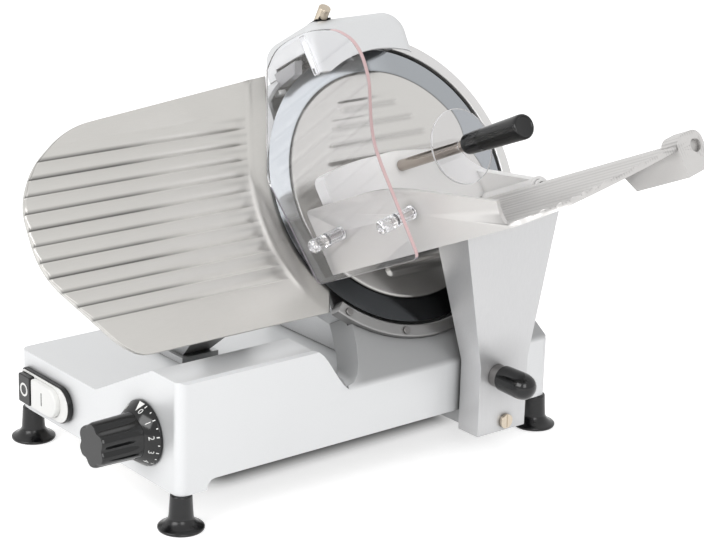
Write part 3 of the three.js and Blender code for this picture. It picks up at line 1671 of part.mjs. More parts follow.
// The blade and its drive
add(onBlade, 'blade_housing', makeHousing(), castAluminium());
add(onBlade, 'ring_guard', makeRingGuard(), castAluminium());
guardScrew.degrees.forEach((degrees, index) => {
  add(onBlade, `ring_guard_screw_${index + 1}`, makeGuardScrew(degrees), polishedSteel());
});
add(onBlade, 'blade', makeBlade(), bladeSteel());
add(onBlade, 'blade_cover', makeBladeCover(), brushedAluminium());
add(onBlade, 'cover_tie_rod', makeTieRod(), polishedSteel());
add(onBlade, 'blade_spindle', makeSpindle(), polishedSteel());
add(onBlade, 'spindle_bearing_front', makeBearing(bearing.frontAt), polishedSteel());
add(onBlade, 'spindle_bearing_rear', makeBearing(bearing.rearAt), polishedSteel());
add(onBlade, 'blade_pulley', makeDrivenPulley(), darkSteel());
add(onBlade, 'motor_pulley', makeMotorPulley(), darkSteel());
add(onBlade, 'drive_belt', makeBelt(), blackRubber());
add(onBlade, 'motor', makeMotor(), darkSteel());
add(onBlade, 'motor_shaft', makeMotorShaft(), polishedSteel());
add(bench, 'motor_cover', makeMotorCover(), castAluminium());
add(onBlade, 'slice_deflector', makeDeflector(), polishedSteel());

// The sharpener
add(onBlade, 'sharpener_hood', makeHood(), castAluminium());
add(onBlade, 'stone_bracket', makeStoneBracket(), polishedSteel());
add(onBlade, 'truing_stone', makeStone(sharpener.frontStoneX, sharpener.frontStoneZ), abrasive());
add(onBlade, 'grinding_stone', makeStone(sharpener.rearStoneX, -sharpener.rearStoneZ), abrasive());
add(onBlade, 'sharpener_pin', makePin(), nickel());

// The carriage
add(bench, 'carriage_arm', makeArm(), castAluminium());
add(bench, 'slide_block', makeSlideBlock(), castAluminium());
add(bench, 'slide_bar', makeRail(), polishedSteel());
add(bench, 'roller_track', makeRollerTrack(), polishedSteel());
add(bench, 'slide_roller', makeRoller(), nylon());
add(bench, 'roller_axle', makeRollerAxle(), polishedSteel());
add(bench, 'lock_knob_shaft', makeLockShaft(), polishedSteel());
add(bench, 'lock_knob_cap', makeLockCap(), blackPlastic());
add(bench, 'arm_screw', makeArmScrew(), nickel());
add(onTray, 'carriage_tray', makeTray(), brushedAluminium());
add(onTray, 'pusher_rod', makeRod(), polishedSteel());
add(onTray, 'pusher_sleeve', makeSleeve(), polishedSteel());
add(onTray, 'pusher_plate', makePusher(), castAluminium());
add(onTray, 'pusher_shaft', makeHandleShaft(), polishedSteel());
add(onTray, 'pusher_grip', makeGrip(), blackPlastic());
add(onTray, 'thumb_guard', makeThumbGuard(), clearPlastic());
add(onTray, 'hand_guard', makeHandGuard(), clearPlastic());
add(onTray, 'guard_spacer_inner', makeSpacer(pillar.nearX), clearPlastic());
add(onTray, 'guard_spacer_outer', makeSpacer(pillar.farX), clearPlastic());
add(onTray, 'guard_knob_inner', makeGuardKnob(pillar.nearX), clearPlastic());
add(onTray, 'guard_knob_outer', makeGuardKnob(pillar.farX), clearPlastic());

export default model;
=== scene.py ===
import json
import math
import bmesh
import bpy
from mathutils import Matrix, Vector


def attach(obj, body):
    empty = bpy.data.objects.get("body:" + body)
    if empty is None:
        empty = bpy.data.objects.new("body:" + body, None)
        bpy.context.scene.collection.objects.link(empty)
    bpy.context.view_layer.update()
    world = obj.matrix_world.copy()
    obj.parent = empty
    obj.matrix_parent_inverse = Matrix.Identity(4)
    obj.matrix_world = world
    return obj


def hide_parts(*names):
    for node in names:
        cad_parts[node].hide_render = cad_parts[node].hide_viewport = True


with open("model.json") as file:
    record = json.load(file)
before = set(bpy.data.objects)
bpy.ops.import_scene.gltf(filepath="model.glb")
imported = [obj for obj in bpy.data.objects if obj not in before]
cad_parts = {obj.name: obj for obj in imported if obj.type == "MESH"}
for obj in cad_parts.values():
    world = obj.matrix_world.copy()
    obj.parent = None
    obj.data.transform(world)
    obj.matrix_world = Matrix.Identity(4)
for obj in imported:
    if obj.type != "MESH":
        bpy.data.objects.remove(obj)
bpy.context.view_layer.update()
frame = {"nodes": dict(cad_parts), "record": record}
print("frame loaded:", len(frame["nodes"]), "nodes")

mm = 0.001

# The three directions that the machine is built in, as in the part's source: millimetres and degrees
bladePlace = dict(tilt=29.6, fromSide=94.5, fromFront=335, height=280)
trayPlace = dict(slope=24, roll=12, corner=(-49.9, 223, 216))
footInset = 9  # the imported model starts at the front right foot, this far in from the base's corner


def frameMatrix(xAxis, yAxis, zAxis, origin):
    matrix = Matrix.Identity(4)
    for column, axis in enumerate((xAxis, yAxis, zAxis)):
        for row in range(3):
            matrix[row][column] = axis[row]
    shift = Vector((footInset, -footInset, 0))
    matrix.translation = (Vector(origin) + shift) * mm
    return matrix


def makeFrames():
    tilt = math.radians(bladePlace["tilt"])
    up = Vector((-math.sin(tilt), 0, math.cos(tilt)))
    out = Vector((math.cos(tilt), 0, math.sin(tilt)))
    across = Vector((0, 1, 0))
    bladeOrigin = (-bladePlace["fromSide"], bladePlace["fromFront"], bladePlace["height"])
    slope = math.radians(trayPlace["slope"])
    roll = math.radians(trayPlace["roll"])
    trayX = Vector((math.cos(slope), 0, math.sin(slope)))
    level = Vector((-math.sin(slope), 0, math.cos(slope)))
    trayY = across * math.cos(roll) + level * math.sin(roll)
    trayZ = trayX.cross(trayY)
    return dict(
        bench=frameMatrix((1, 0, 0), (0, 1, 0), (0, 0, 1), (0, 0, 0)),
        blade=frameMatrix(across, up, out, bladeOrigin),
        tray=frameMatrix(trayX, trayY, trayZ, trayPlace["corner"]),
    )


frames = makeFrames()

# The camera stands where the photograph was taken from; its focal length and width are in pixels
camera = dict(
    place=(1.579, -1.0727, 0.8891), yaw=50.99, pitch=18.05, roll=1.62, focal=2126.4, width=704, sensor=36,
    nearest=0.05, farthest=50)


def makeCamera():
    yaw = math.radians(camera["yaw"])
    pitch = math.radians(camera["pitch"])
    roll = math.radians(camera["roll"])
    look = Vector((-math.sin(yaw) * math.cos(pitch), math.cos(yaw) * math.cos(pitch), -math.sin(pitch)))
    side = Vector((math.cos(yaw), math.sin(yaw), 0))
    up = side.cross(look)
    turnedSide = side * math.cos(roll) + up * math.sin(roll)
    turnedUp = up * math.cos(roll) - side * math.sin(roll)
    matrix = Matrix((turnedSide, turnedUp, -look)).transposed().to_4x4()
    matrix.translation = Vector(camera["place"])
    lensData = bpy.data.cameras.new("camera")
    lensData.sensor_width = camera["sensor"]
    lensData.lens = camera["focal"] / camera["width"] * camera["sensor"]
    lensData.clip_start = camera["nearest"]
    lensData.clip_end = camera["farthest"]
    cameraObject = bpy.data.objects.new("camera", lensData)
    cameraObject.matrix_world = matrix
    bpy.context.scene.collection.objects.link(cameraObject)
    bpy.context.scene.camera = cameraObject


makeCamera()
print("camera placed")


# An sRGB hex colour as linear red, green, blue and alpha
def linear(hexColor):
    values = []
    for start in (1, 3, 5):
        share = int(hexColor[start:start + 2], 16) / 255
        values.append(share / 12.92 if share <= 0.04045 else ((share + 0.055) / 1.055) ** 2.4)
    return (*values, 1)


# Adds one node. Settings are properties of the node or values of its sockets, by name or number
def addNode(tree, kind, settings=None, links=None):
    node = tree.nodes.new(kind)
    for name, value in (settings or {}).items():
        if isinstance(name, str) and hasattr(node, name):
            setattr(node, name, value)
        else:
            node.inputs[name].default_value = value
    for name, source in (links or {}).items():
        tree.links.new(source, node.inputs[name])
    return node


# Each finish has an sRGB colour, a roughness, a metal share, and a grain: its size in millimetres, and how deep
# it looks. Real grain is finer, about 0.1 to 0.3 mm, and is drawn this coarse so that it shows.
#   brush    how much the grain is drawn out along x, y and z
#   nook     painted shade in nooks: how far away, in millimetres, a neighbour still darkens the colour, and how strongly
#   shadows  painted shadows: the light left in each, then where it begins and is full along each axis, in metres
#   grooves  painted shade of fine lines: their pitch in millimetres, and how dark they are
finishes = dict(
    # Sand-cast aluminium, tumbled and lacquered: pale and even, with a soft broad shine, and painted shade in
    # its nooks
    satinCastAluminium=dict(
        color="#e6e7e8", metallic=0.45, roughness=0.42, grain=0.7, depth=0.06, nook=(50, 0.8)),
    # The same casting on the base, with painted shade where it rises beside the carriage and in its nooks
    castBase=dict(
        color="#e6e7e8", metallic=0.45, roughness=0.4, grain=0.7, depth=0.06, nook=(18, 0.6),
        shadows=[(0.5, ("Y", 0.185, 0.225), ("Z", 0.101, 0.109))]),
    # Machined casting: more metallic than the base, with painted shade low down round the blade and in its nooks
    castRing=dict(
        color="#e2e1e0", metallic=0.8, roughness=0.3, grain=0.7, depth=0.04, nook=(20, 0.6),
        shadows=[(0.42, ("Z", 0.26, 0.15))]),
    # Turned steel: a mid grey with a soft highlight
    collarSteel=dict(color="#8d8b8a", metallic=1, roughness=0.35, depth=0.05),
    # Unfinished casting inside the hood: dull grey with a rough skin
    castGrey=dict(color="#a4a4a6", metallic=0.6, roughness=0.5, grain=0.9, depth=0.6),
    # Pressed and polished aluminium: blurred reflections, painted shade that leaves it a little dimmer towards
    # its lower edge, and painted shade in its nooks and where its mesh marks it
    polishedAluminium=dict(
        color="#d6d4d1", metallic=0.9, roughness=0.24, depth=0.03, nook=(4, 0.8),
        shadows=[(0.9, ("Z", 0.25, 0.17))]),
    # Aluminium brushed lengthways: fine streaks along the plate, shine spread across them, and painted shade in
    # its nooks and where its mesh marks shade
    brushedAluminium=dict(
        color="#d3d1cd", metallic=0.85, roughness=0.36, grain=0.5, depth=0.06, brush=(0.03, 1, 1),
        nook=(20, 0.5)),
    # Satin anodised aluminium: light grey, with painted shade in its nooks and along fine lines that run along
    # the ribs
    satinTray=dict(
        color="#dad8d6", metallic=0.6, roughness=0.38, depth=0.05, nook=(10, 0.6), grooves=(3.2, 0.16)),
    # Bead-blasted and clear-coated: nearly white, with hardly any reflection, and a little painted shade in its
    # nooks
    satinPusher=dict(color="#fcfbfa", metallic=0.05, roughness=0.36, depth=0.04, nook=(6, 0.3)),
    # Hard-chromed and ground steel: a cool mirror, with painted shade that makes it nearly black where it dips
    # into its guard and dim at the rear
    groundSteel=dict(
        color="#e0e5ea", metallic=0.95, roughness=0.14, grain=0.4, nook=(3, 1),
        shadows=[(0.2, ("Z", 0.272, 0.262)), (0.45, ("Z", 0.242, 0.228)), (0.53, ("Y", 0.28, 0.38))]),
    # Cast aluminium, linished upwards: streaks along the arm, and painted shade in its nooks
    castArm=dict(
        color="#d8d8d9", metallic=0.5, roughness=0.38, grain=1.2, depth=0.12, brush=(1, 1, 0.03),
        nook=(40, 0.8)),
    # Turned stainless steel: warm grey, and sharp enough to show the black grip
    darkShaft=dict(color="#b5aca4", metallic=1, roughness=0.2, depth=0.01),
    # Polished stainless steel: a bright mirror
    polishedSteel=dict(color="#c8c5c2", metallic=1, roughness=0.12, depth=0.01),
    # Nickel plate: a warm shine, a little yellow beside the steel
    nickelPlate=dict(color="#cbbfae", metallic=1, roughness=0.2),
    # Moulded ABS: deep black with a tight highlight
    blackAbs=dict(color="#090a0b", roughness=0.13, grain=0.5),
    # Moulded ABS: clean white with a softer highlight
    whiteAbs=dict(color="#f2f2f0", roughness=0.3, grain=0.5),
    # Pad-printed ink: flat white
    whitePrint=dict(color="#f4f4f2", roughness=0.5, grain=0.5, depth=0.01),
    # Moulded rubber: black, with a wide grey sheen
    blackRubber=dict(color="#0b0b0d", roughness=0.24, grain=0.7, depth=0.05),
    # Blackened steel: dark and half dull
    darkSteel=dict(color="#5c5f63", metallic=1, roughness=0.4, depth=0.05),
    # Bonded grit: brown, matt and rough
    abrasive=dict(color="#8a6f5a", roughness=0.95, grain=0.35, depth=0.5),
    # Solder mask over woven glass: green and slightly uneven
    circuitBoard=dict(color="#2c6a43", roughness=0.5, grain=2, depth=0.1),
    # Machined nylon: cream and waxy
    nylon=dict(color="#e6e3d7", roughness=0.45, grain=0.8),
    # Sawn acrylic edges, drawn opaque in place of the light and colour that the sheet gathers: painted light, a
    # painted highlight and painted shade
    acrylicEdge=dict(color="#dabbbc", roughness=0.25, grain=1, depth=0.01),
    acrylicPaintedHighlight=dict(color="#fbfbfd", roughness=0.25, grain=1, depth=0.01),
    acrylicRim=dict(color="#dcdadb", roughness=0.25, grain=1, depth=0.01),
    acrylicPaintedShade=dict(color="#8f8793", roughness=0.25, grain=1, depth=0.01),
)
materials = {}


# The product of any number of values
def multiplied(tree, values):
    total = values[0]
    for value in values[1:]:
        total = addNode(tree, "ShaderNodeMath", {"operation": "MULTIPLY"}, {0: total, 1: value}).outputs[0]
    return total


# Painted shadow: the light left at a place, 1 outside a shadow, and the given level where the fade along every
# axis is complete
def shadowLight(tree, level, *fades):
    place = addNode(tree, "ShaderNodeNewGeometry")
    spot = addNode(tree, "ShaderNodeSeparateXYZ", None, {"Vector": place.outputs["Position"]})
    inside = []
    for axis, clear, full in fades:
        fade = addNode(
            tree, "ShaderNodeMapRange",
            {"interpolation_type": "SMOOTHSTEP", "From Min": clear, "From Max": full},
            {"Value": spot.outputs[axis]})
        inside.append(fade.outputs["Result"])
    light = addNode(
        tree, "ShaderNodeMapRange", {"To Min": 1, "To Max": level}, {"Value": multiplied(tree, inside)})
    return light.outputs["Result"]


# Painted shade: the light left in nooks, and where a mesh carries its own painted shade
def nookLight(tree, reach, strength):
    near = addNode(tree, "ShaderNodeAmbientOcclusion", {"samples": 8, "Distance": reach * mm})
    depth = addNode(tree, "ShaderNodeMath", {"operation": "POWER", 1: strength}, {0: near.outputs["AO"]})
    own = addNode(tree, "ShaderNodeAttribute", {"attribute_name": "shade"})
    kept = addNode(tree, "ShaderNodeMath", {"operation": "SUBTRACT", 0: 1}, {1: own.outputs["Fac"]})
    return multiplied(tree, [depth.outputs[0], kept.outputs[0]])


# Painted shade: the light left by fine lines along the tray's length, on the faces that look upwards
def grooveLight(tree, coords, pitch, strength):
    across = frames["tray"].to_3x3().col[1]
    distance = addNode(tree, "ShaderNodeVectorMath", {"operation": "DOT_PRODUCT", 1: across}, {0: coords})
    turns = addNode(
        tree, "ShaderNodeMath", {"operation": "MULTIPLY", 1: 2 * math.pi / (pitch * mm)},
        {0: distance.outputs["Value"]})
    wave = addNode(tree, "ShaderNodeMath", {"operation": "SINE"}, {0: turns.outputs[0]})
    line = addNode(tree, "ShaderNodeMath", {"operation": "MAXIMUM", 1: 0}, {0: wave.outputs[0]})
    facing = addNode(tree, "ShaderNodeNewGeometry")
    upward = addNode(tree, "ShaderNodeSeparateXYZ", None, {"Vector": facing.outputs["Normal"]})
    mask = addNode(
        tree, "ShaderNodeMapRange", {"From Min": 0.6, "From Max": 0.7, "To Max": strength},
        {"Value": upward.outputs["Z"]})
    dark = multiplied(tree, [line.outputs[0], mask.outputs["Result"]])
    kept = addNode(tree, "ShaderNodeMath", {"operation": "SUBTRACT", 0: 1}, {1: dark})
    return kept.outputs[0]


# A grained surface: the colour varies a little with the grain, the roughness over broad patches, and painted
# shade dims the colour
def grainMaterial(
        name, color, roughness, metallic=0, grain=0.6, depth=0.02, brush=(1, 1, 1), nook=None, shadows=(),
        grooves=None):
    material = bpy.data.materials.new(name)
    material.use_nodes = True
    tree = material.node_tree
    shader = tree.nodes["Principled BSDF"]
    shader.inputs["Metallic"].default_value = metallic
    coords = addNode(tree, "ShaderNodeTexCoord")
    stretch = addNode(tree, "ShaderNodeMapping", {"Scale": brush}, {"Vector": coords.outputs["Object"]})
    fine = addNode(
        tree, "ShaderNodeTexNoise", {"Scale": 1 / (grain * mm), "Detail": 3, "Roughness": 0.6},
        {"Vector": stretch.outputs["Vector"]})
    broad = addNode(tree, "ShaderNodeTexNoise", {"Scale": 12, "Detail": 2}, {"Vector": coords.outputs["Object"]})
    dull = addNode(
        tree, "ShaderNodeMapRange", {"To Min": roughness * 0.85, "To Max": roughness * 1.2},
        {"Value": broad.outputs["Fac"]})
    dark = tuple(channel * 0.9 for channel in linear(color)[:3]) + (1,)
    tone = addNode(
        tree, "ShaderNodeMix", {"data_type": "RGBA", 6: dark, 7: linear(color)}, {0: fine.outputs["Fac"]})
    bump = addNode(
        tree, "ShaderNodeBump", {"Strength": depth, "Distance": grain * mm}, {"Height": fine.outputs["Fac"]})
    surface = tone.outputs[2]
    lights = [nookLight(tree, *nook)] if nook else []
    lights += [shadowLight(tree, *shadow) for shadow in shadows]
    if grooves:
        lights.append(grooveLight(tree, coords.outputs["Object"], *grooves))
    if lights:
        dimmed = addNode(
            tree, "ShaderNodeMix", {"data_type": "RGBA", "blend_type": "MULTIPLY", 0: 1},
            {6: surface, 7: multiplied(tree, lights)})
        surface = dimmed.outputs[2]
    tree.links.new(surface, shader.inputs["Base Color"])
    tree.links.new(dull.outputs["Result"], shader.inputs["Roughness"])
    tree.links.new(bump.outputs["Normal"], shader.inputs["Normal"])
    return material


for finishName, finish in finishes.items():
    materials[finishName] = grainMaterial(finishName, **finish)


# Clear acrylic sheet and knobs: colourless, with a sharp polish
def acrylicMaterial(name, color, roughness):
    material = bpy.data.materials.new(name)
    material.use_nodes = True
    tree = material.node_tree
    shader = tree.nodes["Principled BSDF"]
    shader.inputs["Base Color"].default_value = linear(color)
    shader.inputs["Transmission Weight"].default_value = 1
    shader.inputs["IOR"].default_value = 1.49
    coords = addNode(tree, "ShaderNodeTexCoord")
    haze = addNode(tree, "ShaderNodeTexNoise", {"Scale": 40, "Detail": 2}, {"Vector": coords.outputs["Object"]})
    spread = addNode(
        tree, "ShaderNodeMapRange", {"To Min": roughness, "To Max": roughness * 2},
        {"Value": haze.outputs["Fac"]})
    tree.links.new(spread.outputs["Result"], shader.inputs["Roughness"])
    return material


materials["clearAcrylic"] = acrylicMaterial("clearAcrylic", "#fdfdff", 0.01)
print("finishes made:", len(materials))

# The finish of each material slot, and of the nodes that have their own
slotFinish = dict(
    cast_aluminium="satinCastAluminium", brushed_aluminium="brushedAluminium", blade_steel="groundSteel",
    polished_steel="polishedSteel", nickel="nickelPlate", black_plastic="blackAbs", white_plastic="whiteAbs",
    clear_plastic="clearAcrylic", black_rubber="blackRubber", dark_steel="darkSteel", abrasive="abrasive",
    circuit_board="circuitBoard", nylon="nylon",
)
nodeFinish = dict(
    base_housing="castBase", carriage_tray="satinTray", carriage_arm="castArm", pusher_plate="satinPusher",
    pusher_sleeve="satinPusher", lock_knob_shaft="collarSteel", ring_guard_screw_1="collarSteel",
    ring_guard_screw_2="collarSteel")


# Merges flat neighbours, then rounds every edge sharper than an angle: millimetres and degrees
def softEdges(piece, width, angle=30, segments=3, flat=0.5, clamped=False, miter="MITER_ARC"):
    planes = piece.modifiers.new("planes", "DECIMATE")
    planes.decimate_type = "DISSOLVE"
    planes.angle_limit = math.radians(flat)
    edges = piece.modifiers.new("edges", "BEVEL")
    edges.width = width * mm
    edges.segments = segments
    edges.limit_method = "ANGLE"
    edges.angle_limit = math.radians(angle)
    edges.use_clamp_overlap = clamped
    edges.miter_outer = miter
    smoothNormals(piece)
    return piece


def smoothNormals(piece):
    normals = piece.modifiers.new("normals", "WEIGHTED_NORMAL")
    normals.keep_sharp = True
    piece.data.shade_smooth()


# The kept CAD nodes get soft edges, and their own finish or that of their slot
def dressNodes():
    slots = {part["node"]: part["material_slot"] for part in frame["record"]["subparts"]}
    for name, node in frame["nodes"].items():
        node.data.materials.clear()
        node.data.materials.append(materials[nodeFinish.get(name, slotFinish[slots[name]])])
        weld = node.modifiers.new("weld", "WELD")
        weld.merge_threshold = 0.01 * mm
        softEdges(node, 0.5, 32, 2, flat=1, clamped=True, miter="MITER_SHARP")


dressNodes()
print("nodes dressed")


# Points along an arc, both ends included
def arcPoints(centre, radius, fromDegrees, toDegrees, steps):
    points = []
    for step in range(steps + 1):
        angle = math.radians(fromDegrees + (toDegrees - fromDegrees) * step / steps)
        points.append((centre[0] + radius * math.cos(angle), centre[1] + radius * math.sin(angle)))
    return points


def roundedBox(x0, x1, y0, y1, radius, steps=6):
    return (
        arcPoints((x1 - radius, y0 + radius), radius, -90, 0, steps)
        + arcPoints((x1 - radius, y1 - radius), radius, 0, 90, steps)
        + arcPoints((x0 + radius, y1 - radius), radius, 90, 180, steps)
        + arcPoints((x0 + radius, y0 + radius), radius, 180, 270, steps))


# Rounds each corner of a closed outline with a short curve
def roundCorners(points, radius, steps=6):
    rounded = []
    for index, point in enumerate(points):
        here = Vector(point)
        before = Vector(points[index - 1]) - here
        after = Vector(points[(index + 1) % len(points)]) - here
        reach = min(radius, before.length / 2.2, after.length / 2.2)
        start = here + before.normalized() * reach
        end = here + after.normalized() * reach
        for step in range(steps + 1):
            share = step / steps
            spot = start * (1 - share) ** 2 + here * 2 * share * (1 - share) + end * share ** 2
            rounded.append((spot.x, spot.y))
    return rounded


# A smooth curve through all the points
def smoothCurve(points, stepsEach):
    curve = []
    ends = [points[0]] + list(points) + [points[-1]]
    for index in range(1, len(ends) - 2):
        a, b, c, d = (Vector(ends[index + k]) for k in (-1, 0, 1, 2))
        for step in range(stepsEach):
            t = step / stepsEach
            spot = 0.5 * (2 * b + (c - a) * t + (2 * a - 5 * b + 4 * c - d) * t ** 2
                          + (3 * b - a - 3 * c + d) * t ** 3)
            curve.append(tuple(spot))
    curve.append(tuple(points[-1]))
    return curve


# Which way the outline's two numbers and its depth point
axisTurns = dict(
    x=Matrix(((0, 0, 1, 0), (1, 0, 0, 0), (0, 1, 0, 0), (0, 0, 0, 1))),
    y=Matrix(((1, 0, 0, 0), (0, 0, 1, 0), (0, 1, 0, 0), (0, 0, 0, 1))),
    z=Matrix.Identity(4),
)


# Joins loose points, turns the mesh to its axis, and makes an object of it with its faces outwards
def meshObject(name, bm, axis="z", offset=(0, 0, 0)):
    bmesh.ops.remove_doubles(bm, verts=bm.verts, dist=0.0001)
    bm.transform(Matrix.Scale(mm, 4) @ Matrix.Translation(offset) @ axisTurns[axis])
    bmesh.ops.recalc_face_normals(bm, faces=bm.faces)
    if bm.calc_volume(signed=True) < 0:
        bmesh.ops.reverse_faces(bm, faces=bm.faces)
    mesh = bpy.data.meshes.new(name)
    bm.to_mesh(mesh)
    bm.free()
    piece = bpy.data.objects.new(name, mesh)
    bpy.context.scene.collection.objects.link(piece)
    return piece


# An outline pushed straight from one depth to another
def prism(name, outline, low, high, axis="z"):
    bm = bmesh.new()
    bottom = [bm.verts.new((a, b, low)) for a, b in outline]
    top = [bm.verts.new((a, b, high)) for a, b in outline]
    bm.faces.new(bottom)
    bm.faces.new(top)
    for index in range(len(outline)):
        after = (index + 1) % len(outline)
        bm.faces.new((bottom[index], bottom[after], top[after], top[index]))
    return meshObject(name, bm, axis)


def box(name, x0, x1, y0, y1, z0, z1):
    return prism(name, [(x0, y0), (x1, y0), (x1, y1), (x0, y1)], z0, z1)


# A list of (radius, height) points turned round an axis, and closed where it goes round a hole
def turned(name, profile, axis="z", centre=(0, 0, 0), steps=96, closed=False):
    bm = bmesh.new()
    rings = []
    for radius, height in profile:
        if radius < 0.0001:
            rings.append([bm.verts.new((0, 0, height))])
            continue
        rings.append([
            bm.verts.new((radius * math.cos(angle), radius * math.sin(angle), height))
            for angle in (2 * math.pi * k / steps for k in range(steps))])
    pairs = list(zip(rings, rings[1:])) + ([(rings[-1], rings[0])] if closed else [])
    for lower, upper in pairs:
        for k in range(steps):
            after = (k + 1) % steps
            below = lower[k % len(lower)], lower[after % len(lower)]
            above = upper[after % len(upper)], upper[k % len(upper)]
            loop = list(dict.fromkeys(below + above))
            if len(loop) > 2:
                bm.faces.new(loop)
    return meshObject(name, bm, axis, centre)


# One ring round a grip that points along y, with shallow flutes
def flutedRing(centre, y, radius, flutes, depth, power, steps):
    ring = []
    for step in range(steps):
        angle = 2 * math.pi * step / steps
        reach = radius - depth * (0.5 + 0.5 * math.cos(flutes * angle)) ** power
        ring.append((centre[0] + reach * math.cos(angle), y, centre[1] + reach * math.sin(angle)))
    return ring


# A plain round bar along z, from one height to another
def rod(name, radius, low, high, steps=180):
    return turned(name, [(0, low), (radius, low), (radius, high), (0, high)], steps=steps)


# Cross-sections with equal numbers of points, joined one after another
def lofted(name, sections):
    bm = bmesh.new()
    rings = [[bm.verts.new(point) for point in section] for section in sections]
    count = len(rings[0])
    for lower, upper in zip(rings, rings[1:]):
        for k in range(count):
            after = (k + 1) % count
            bm.faces.new((lower[k], lower[after], upper[after], upper[k]))
    bm.faces.new(rings[0])
    bm.faces.new(rings[-1])
    return meshObject(name, bm)


# Turns a piece's modifiers into its mesh
def applyChanges(piece):
    bpy.context.view_layer.update()
    depsgraph = bpy.context.evaluated_depsgraph_get()
    mesh = bpy.data.meshes.new_from_object(piece.evaluated_get(depsgraph))
    piece.modifiers.clear()
    piece.data = mesh


# Takes other shapes away from a piece
def cutAway(piece, others):
    for other in others:
        change = piece.modifiers.new(other.name, "BOOLEAN")
        change.operation = "DIFFERENCE"
        change.solver = "EXACT"
        change.object = other
    applyChanges(piece)
    for other in others:
        bpy.data.objects.remove(other)


# Puts a piece in its place, with its finish, on its body, and instead of the CAD nodes named
def settle(piece, frameName, body, finish, slotName, *nodes):
    piece.matrix_world = frames[frameName]
    if "normals" not in piece.modifiers:
        smoothNormals(piece)
    if not piece.data.materials:
        piece.data.materials.append(materials[finish])
    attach(piece, body)
    if nodes:
        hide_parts(*nodes)
    return piece


# Goes smoothly from 0 to 1 while the value goes from low to high
def ease(low, high, value):
    share = min(1, max(0, (value - low) / (high - low)))
    return share * share * (3 - 2 * share)


# The two places where a level line crosses a closed outline
def crossings(outline, level):
    found = []
    for index, (x0, y0) in enumerate(outline):
        x1, y1 = outline[(index + 1) % len(outline)]
        if (y0 - level) * (y1 - level) <= 0 and y0 != y1:
            found.append(x0 + (x1 - x0) * (level - y0) / (y1 - y0))
    return min(found), max(found)


# A sheet whose front is shaped by a height at each point, inside a closed outline
def reliefSheet(name, outline, levels, columns, front, back):
    bm = bmesh.new()
    grids = []
    for side in (front, back):
        grid = []
        for level in levels:
            low, high = crossings(outline, level)
            row = []
            for column in range(columns + 1):
                x = low + (high - low) * column / columns
                depth = side(x, level) if callable(side) else side
                row.append(bm.verts.new((x, level, depth)))
            grid.append(row)
        grids.append(grid)
    for grid in grids:
        for lower, upper in zip(grid, grid[1:]):
            for column in range(columns):
                bm.faces.new((lower[column], lower[column + 1], upper[column + 1], upper[column]))
    rim = []
    for grid in grids:
        rim.append(
            grid[0][:-1] + [row[-1] for row in grid][:-1] + grid[-1][:0:-1] + [row[0] for row in grid][:0:-1])
    for index in range(len(rim[0])):
        after = (index + 1) % len(rim[0])
        bm.faces.new((rim[0][index], rim[0][after], rim[1][after], rim[1][index]))
    return meshObject(name, bm)


# Gives each face the finish whose number the choice returns
def giveFinishes(piece, names, choice):
    for name in names:
        piece.data.materials.append(materials[name])
    for face in piece.data.polygons:
        face.material_index = int(choice(face))


# Stores the painted shade of each point of a mesh, from 0 to 1, for its finish to show
def keepShade(piece, shade):
    shades = piece.data.attributes.new("shade", "FLOAT", "POINT")
    for vertex, value in zip(piece.data.vertices, shades.data):
        value.value = shade(*(distance / mm for distance in vertex.co))


gaugePlate = dict(
    # The outline, with x counted away from the blade's axis
    left=433, topLeft=(362, 114), topRight=(116, 136.5), upperLeft=(410, 82), side=(46, -22),
    bottomLeft=(371, -104), bottom=-118.5, bottomRight=124, bottomStep=20, corner=30, clear=147, arcEnd=94,
    # The face, and the crease and falling strip beside the blade
    face=2, thickness=4, creaseRadius=173.5, creaseTop=140, stripFall=0.075,
    swell=0.7, swellWidth=2.4, swellStart=(-92, -78),
    # The rolled ridges: a steep lower side, a long upper side, and a soft end near the crease
    ribs=11, ribPitch=16.05, ribTop=87.5, ribHeight=2.2, ribShift=3, ribEnd=(-20, -5), rollShare=0.26,
    fallShare=(0.3, 0.98),
    # Painted shade: how dark each ridge's lower side is, most of all towards the far end, and its upper side
    # near the crease
    shade=0.9, shadeEnd=-4, underPower=1.2, underLeast=0.12, underFar=(245, 325), underNear=(0.12, -60, -14),
    overPlace=0.62, overWidth=0.2, overNear=(0.16, -50, -14),
    columns=110, rows=360)


# The plate's blade side: a straight line that runs into an arc round the blade
def plateSide(radius, topX, topY):
    reach = math.hypot(topX, topY)
    start = math.degrees(math.atan2(topY, topX) + math.acos(radius / reach))
    end = 180 + math.degrees(math.asin(gaugePlate["arcEnd"] / radius))
    return [(topX, topY)] + arcPoints((0, 0), radius, start, end, 24)


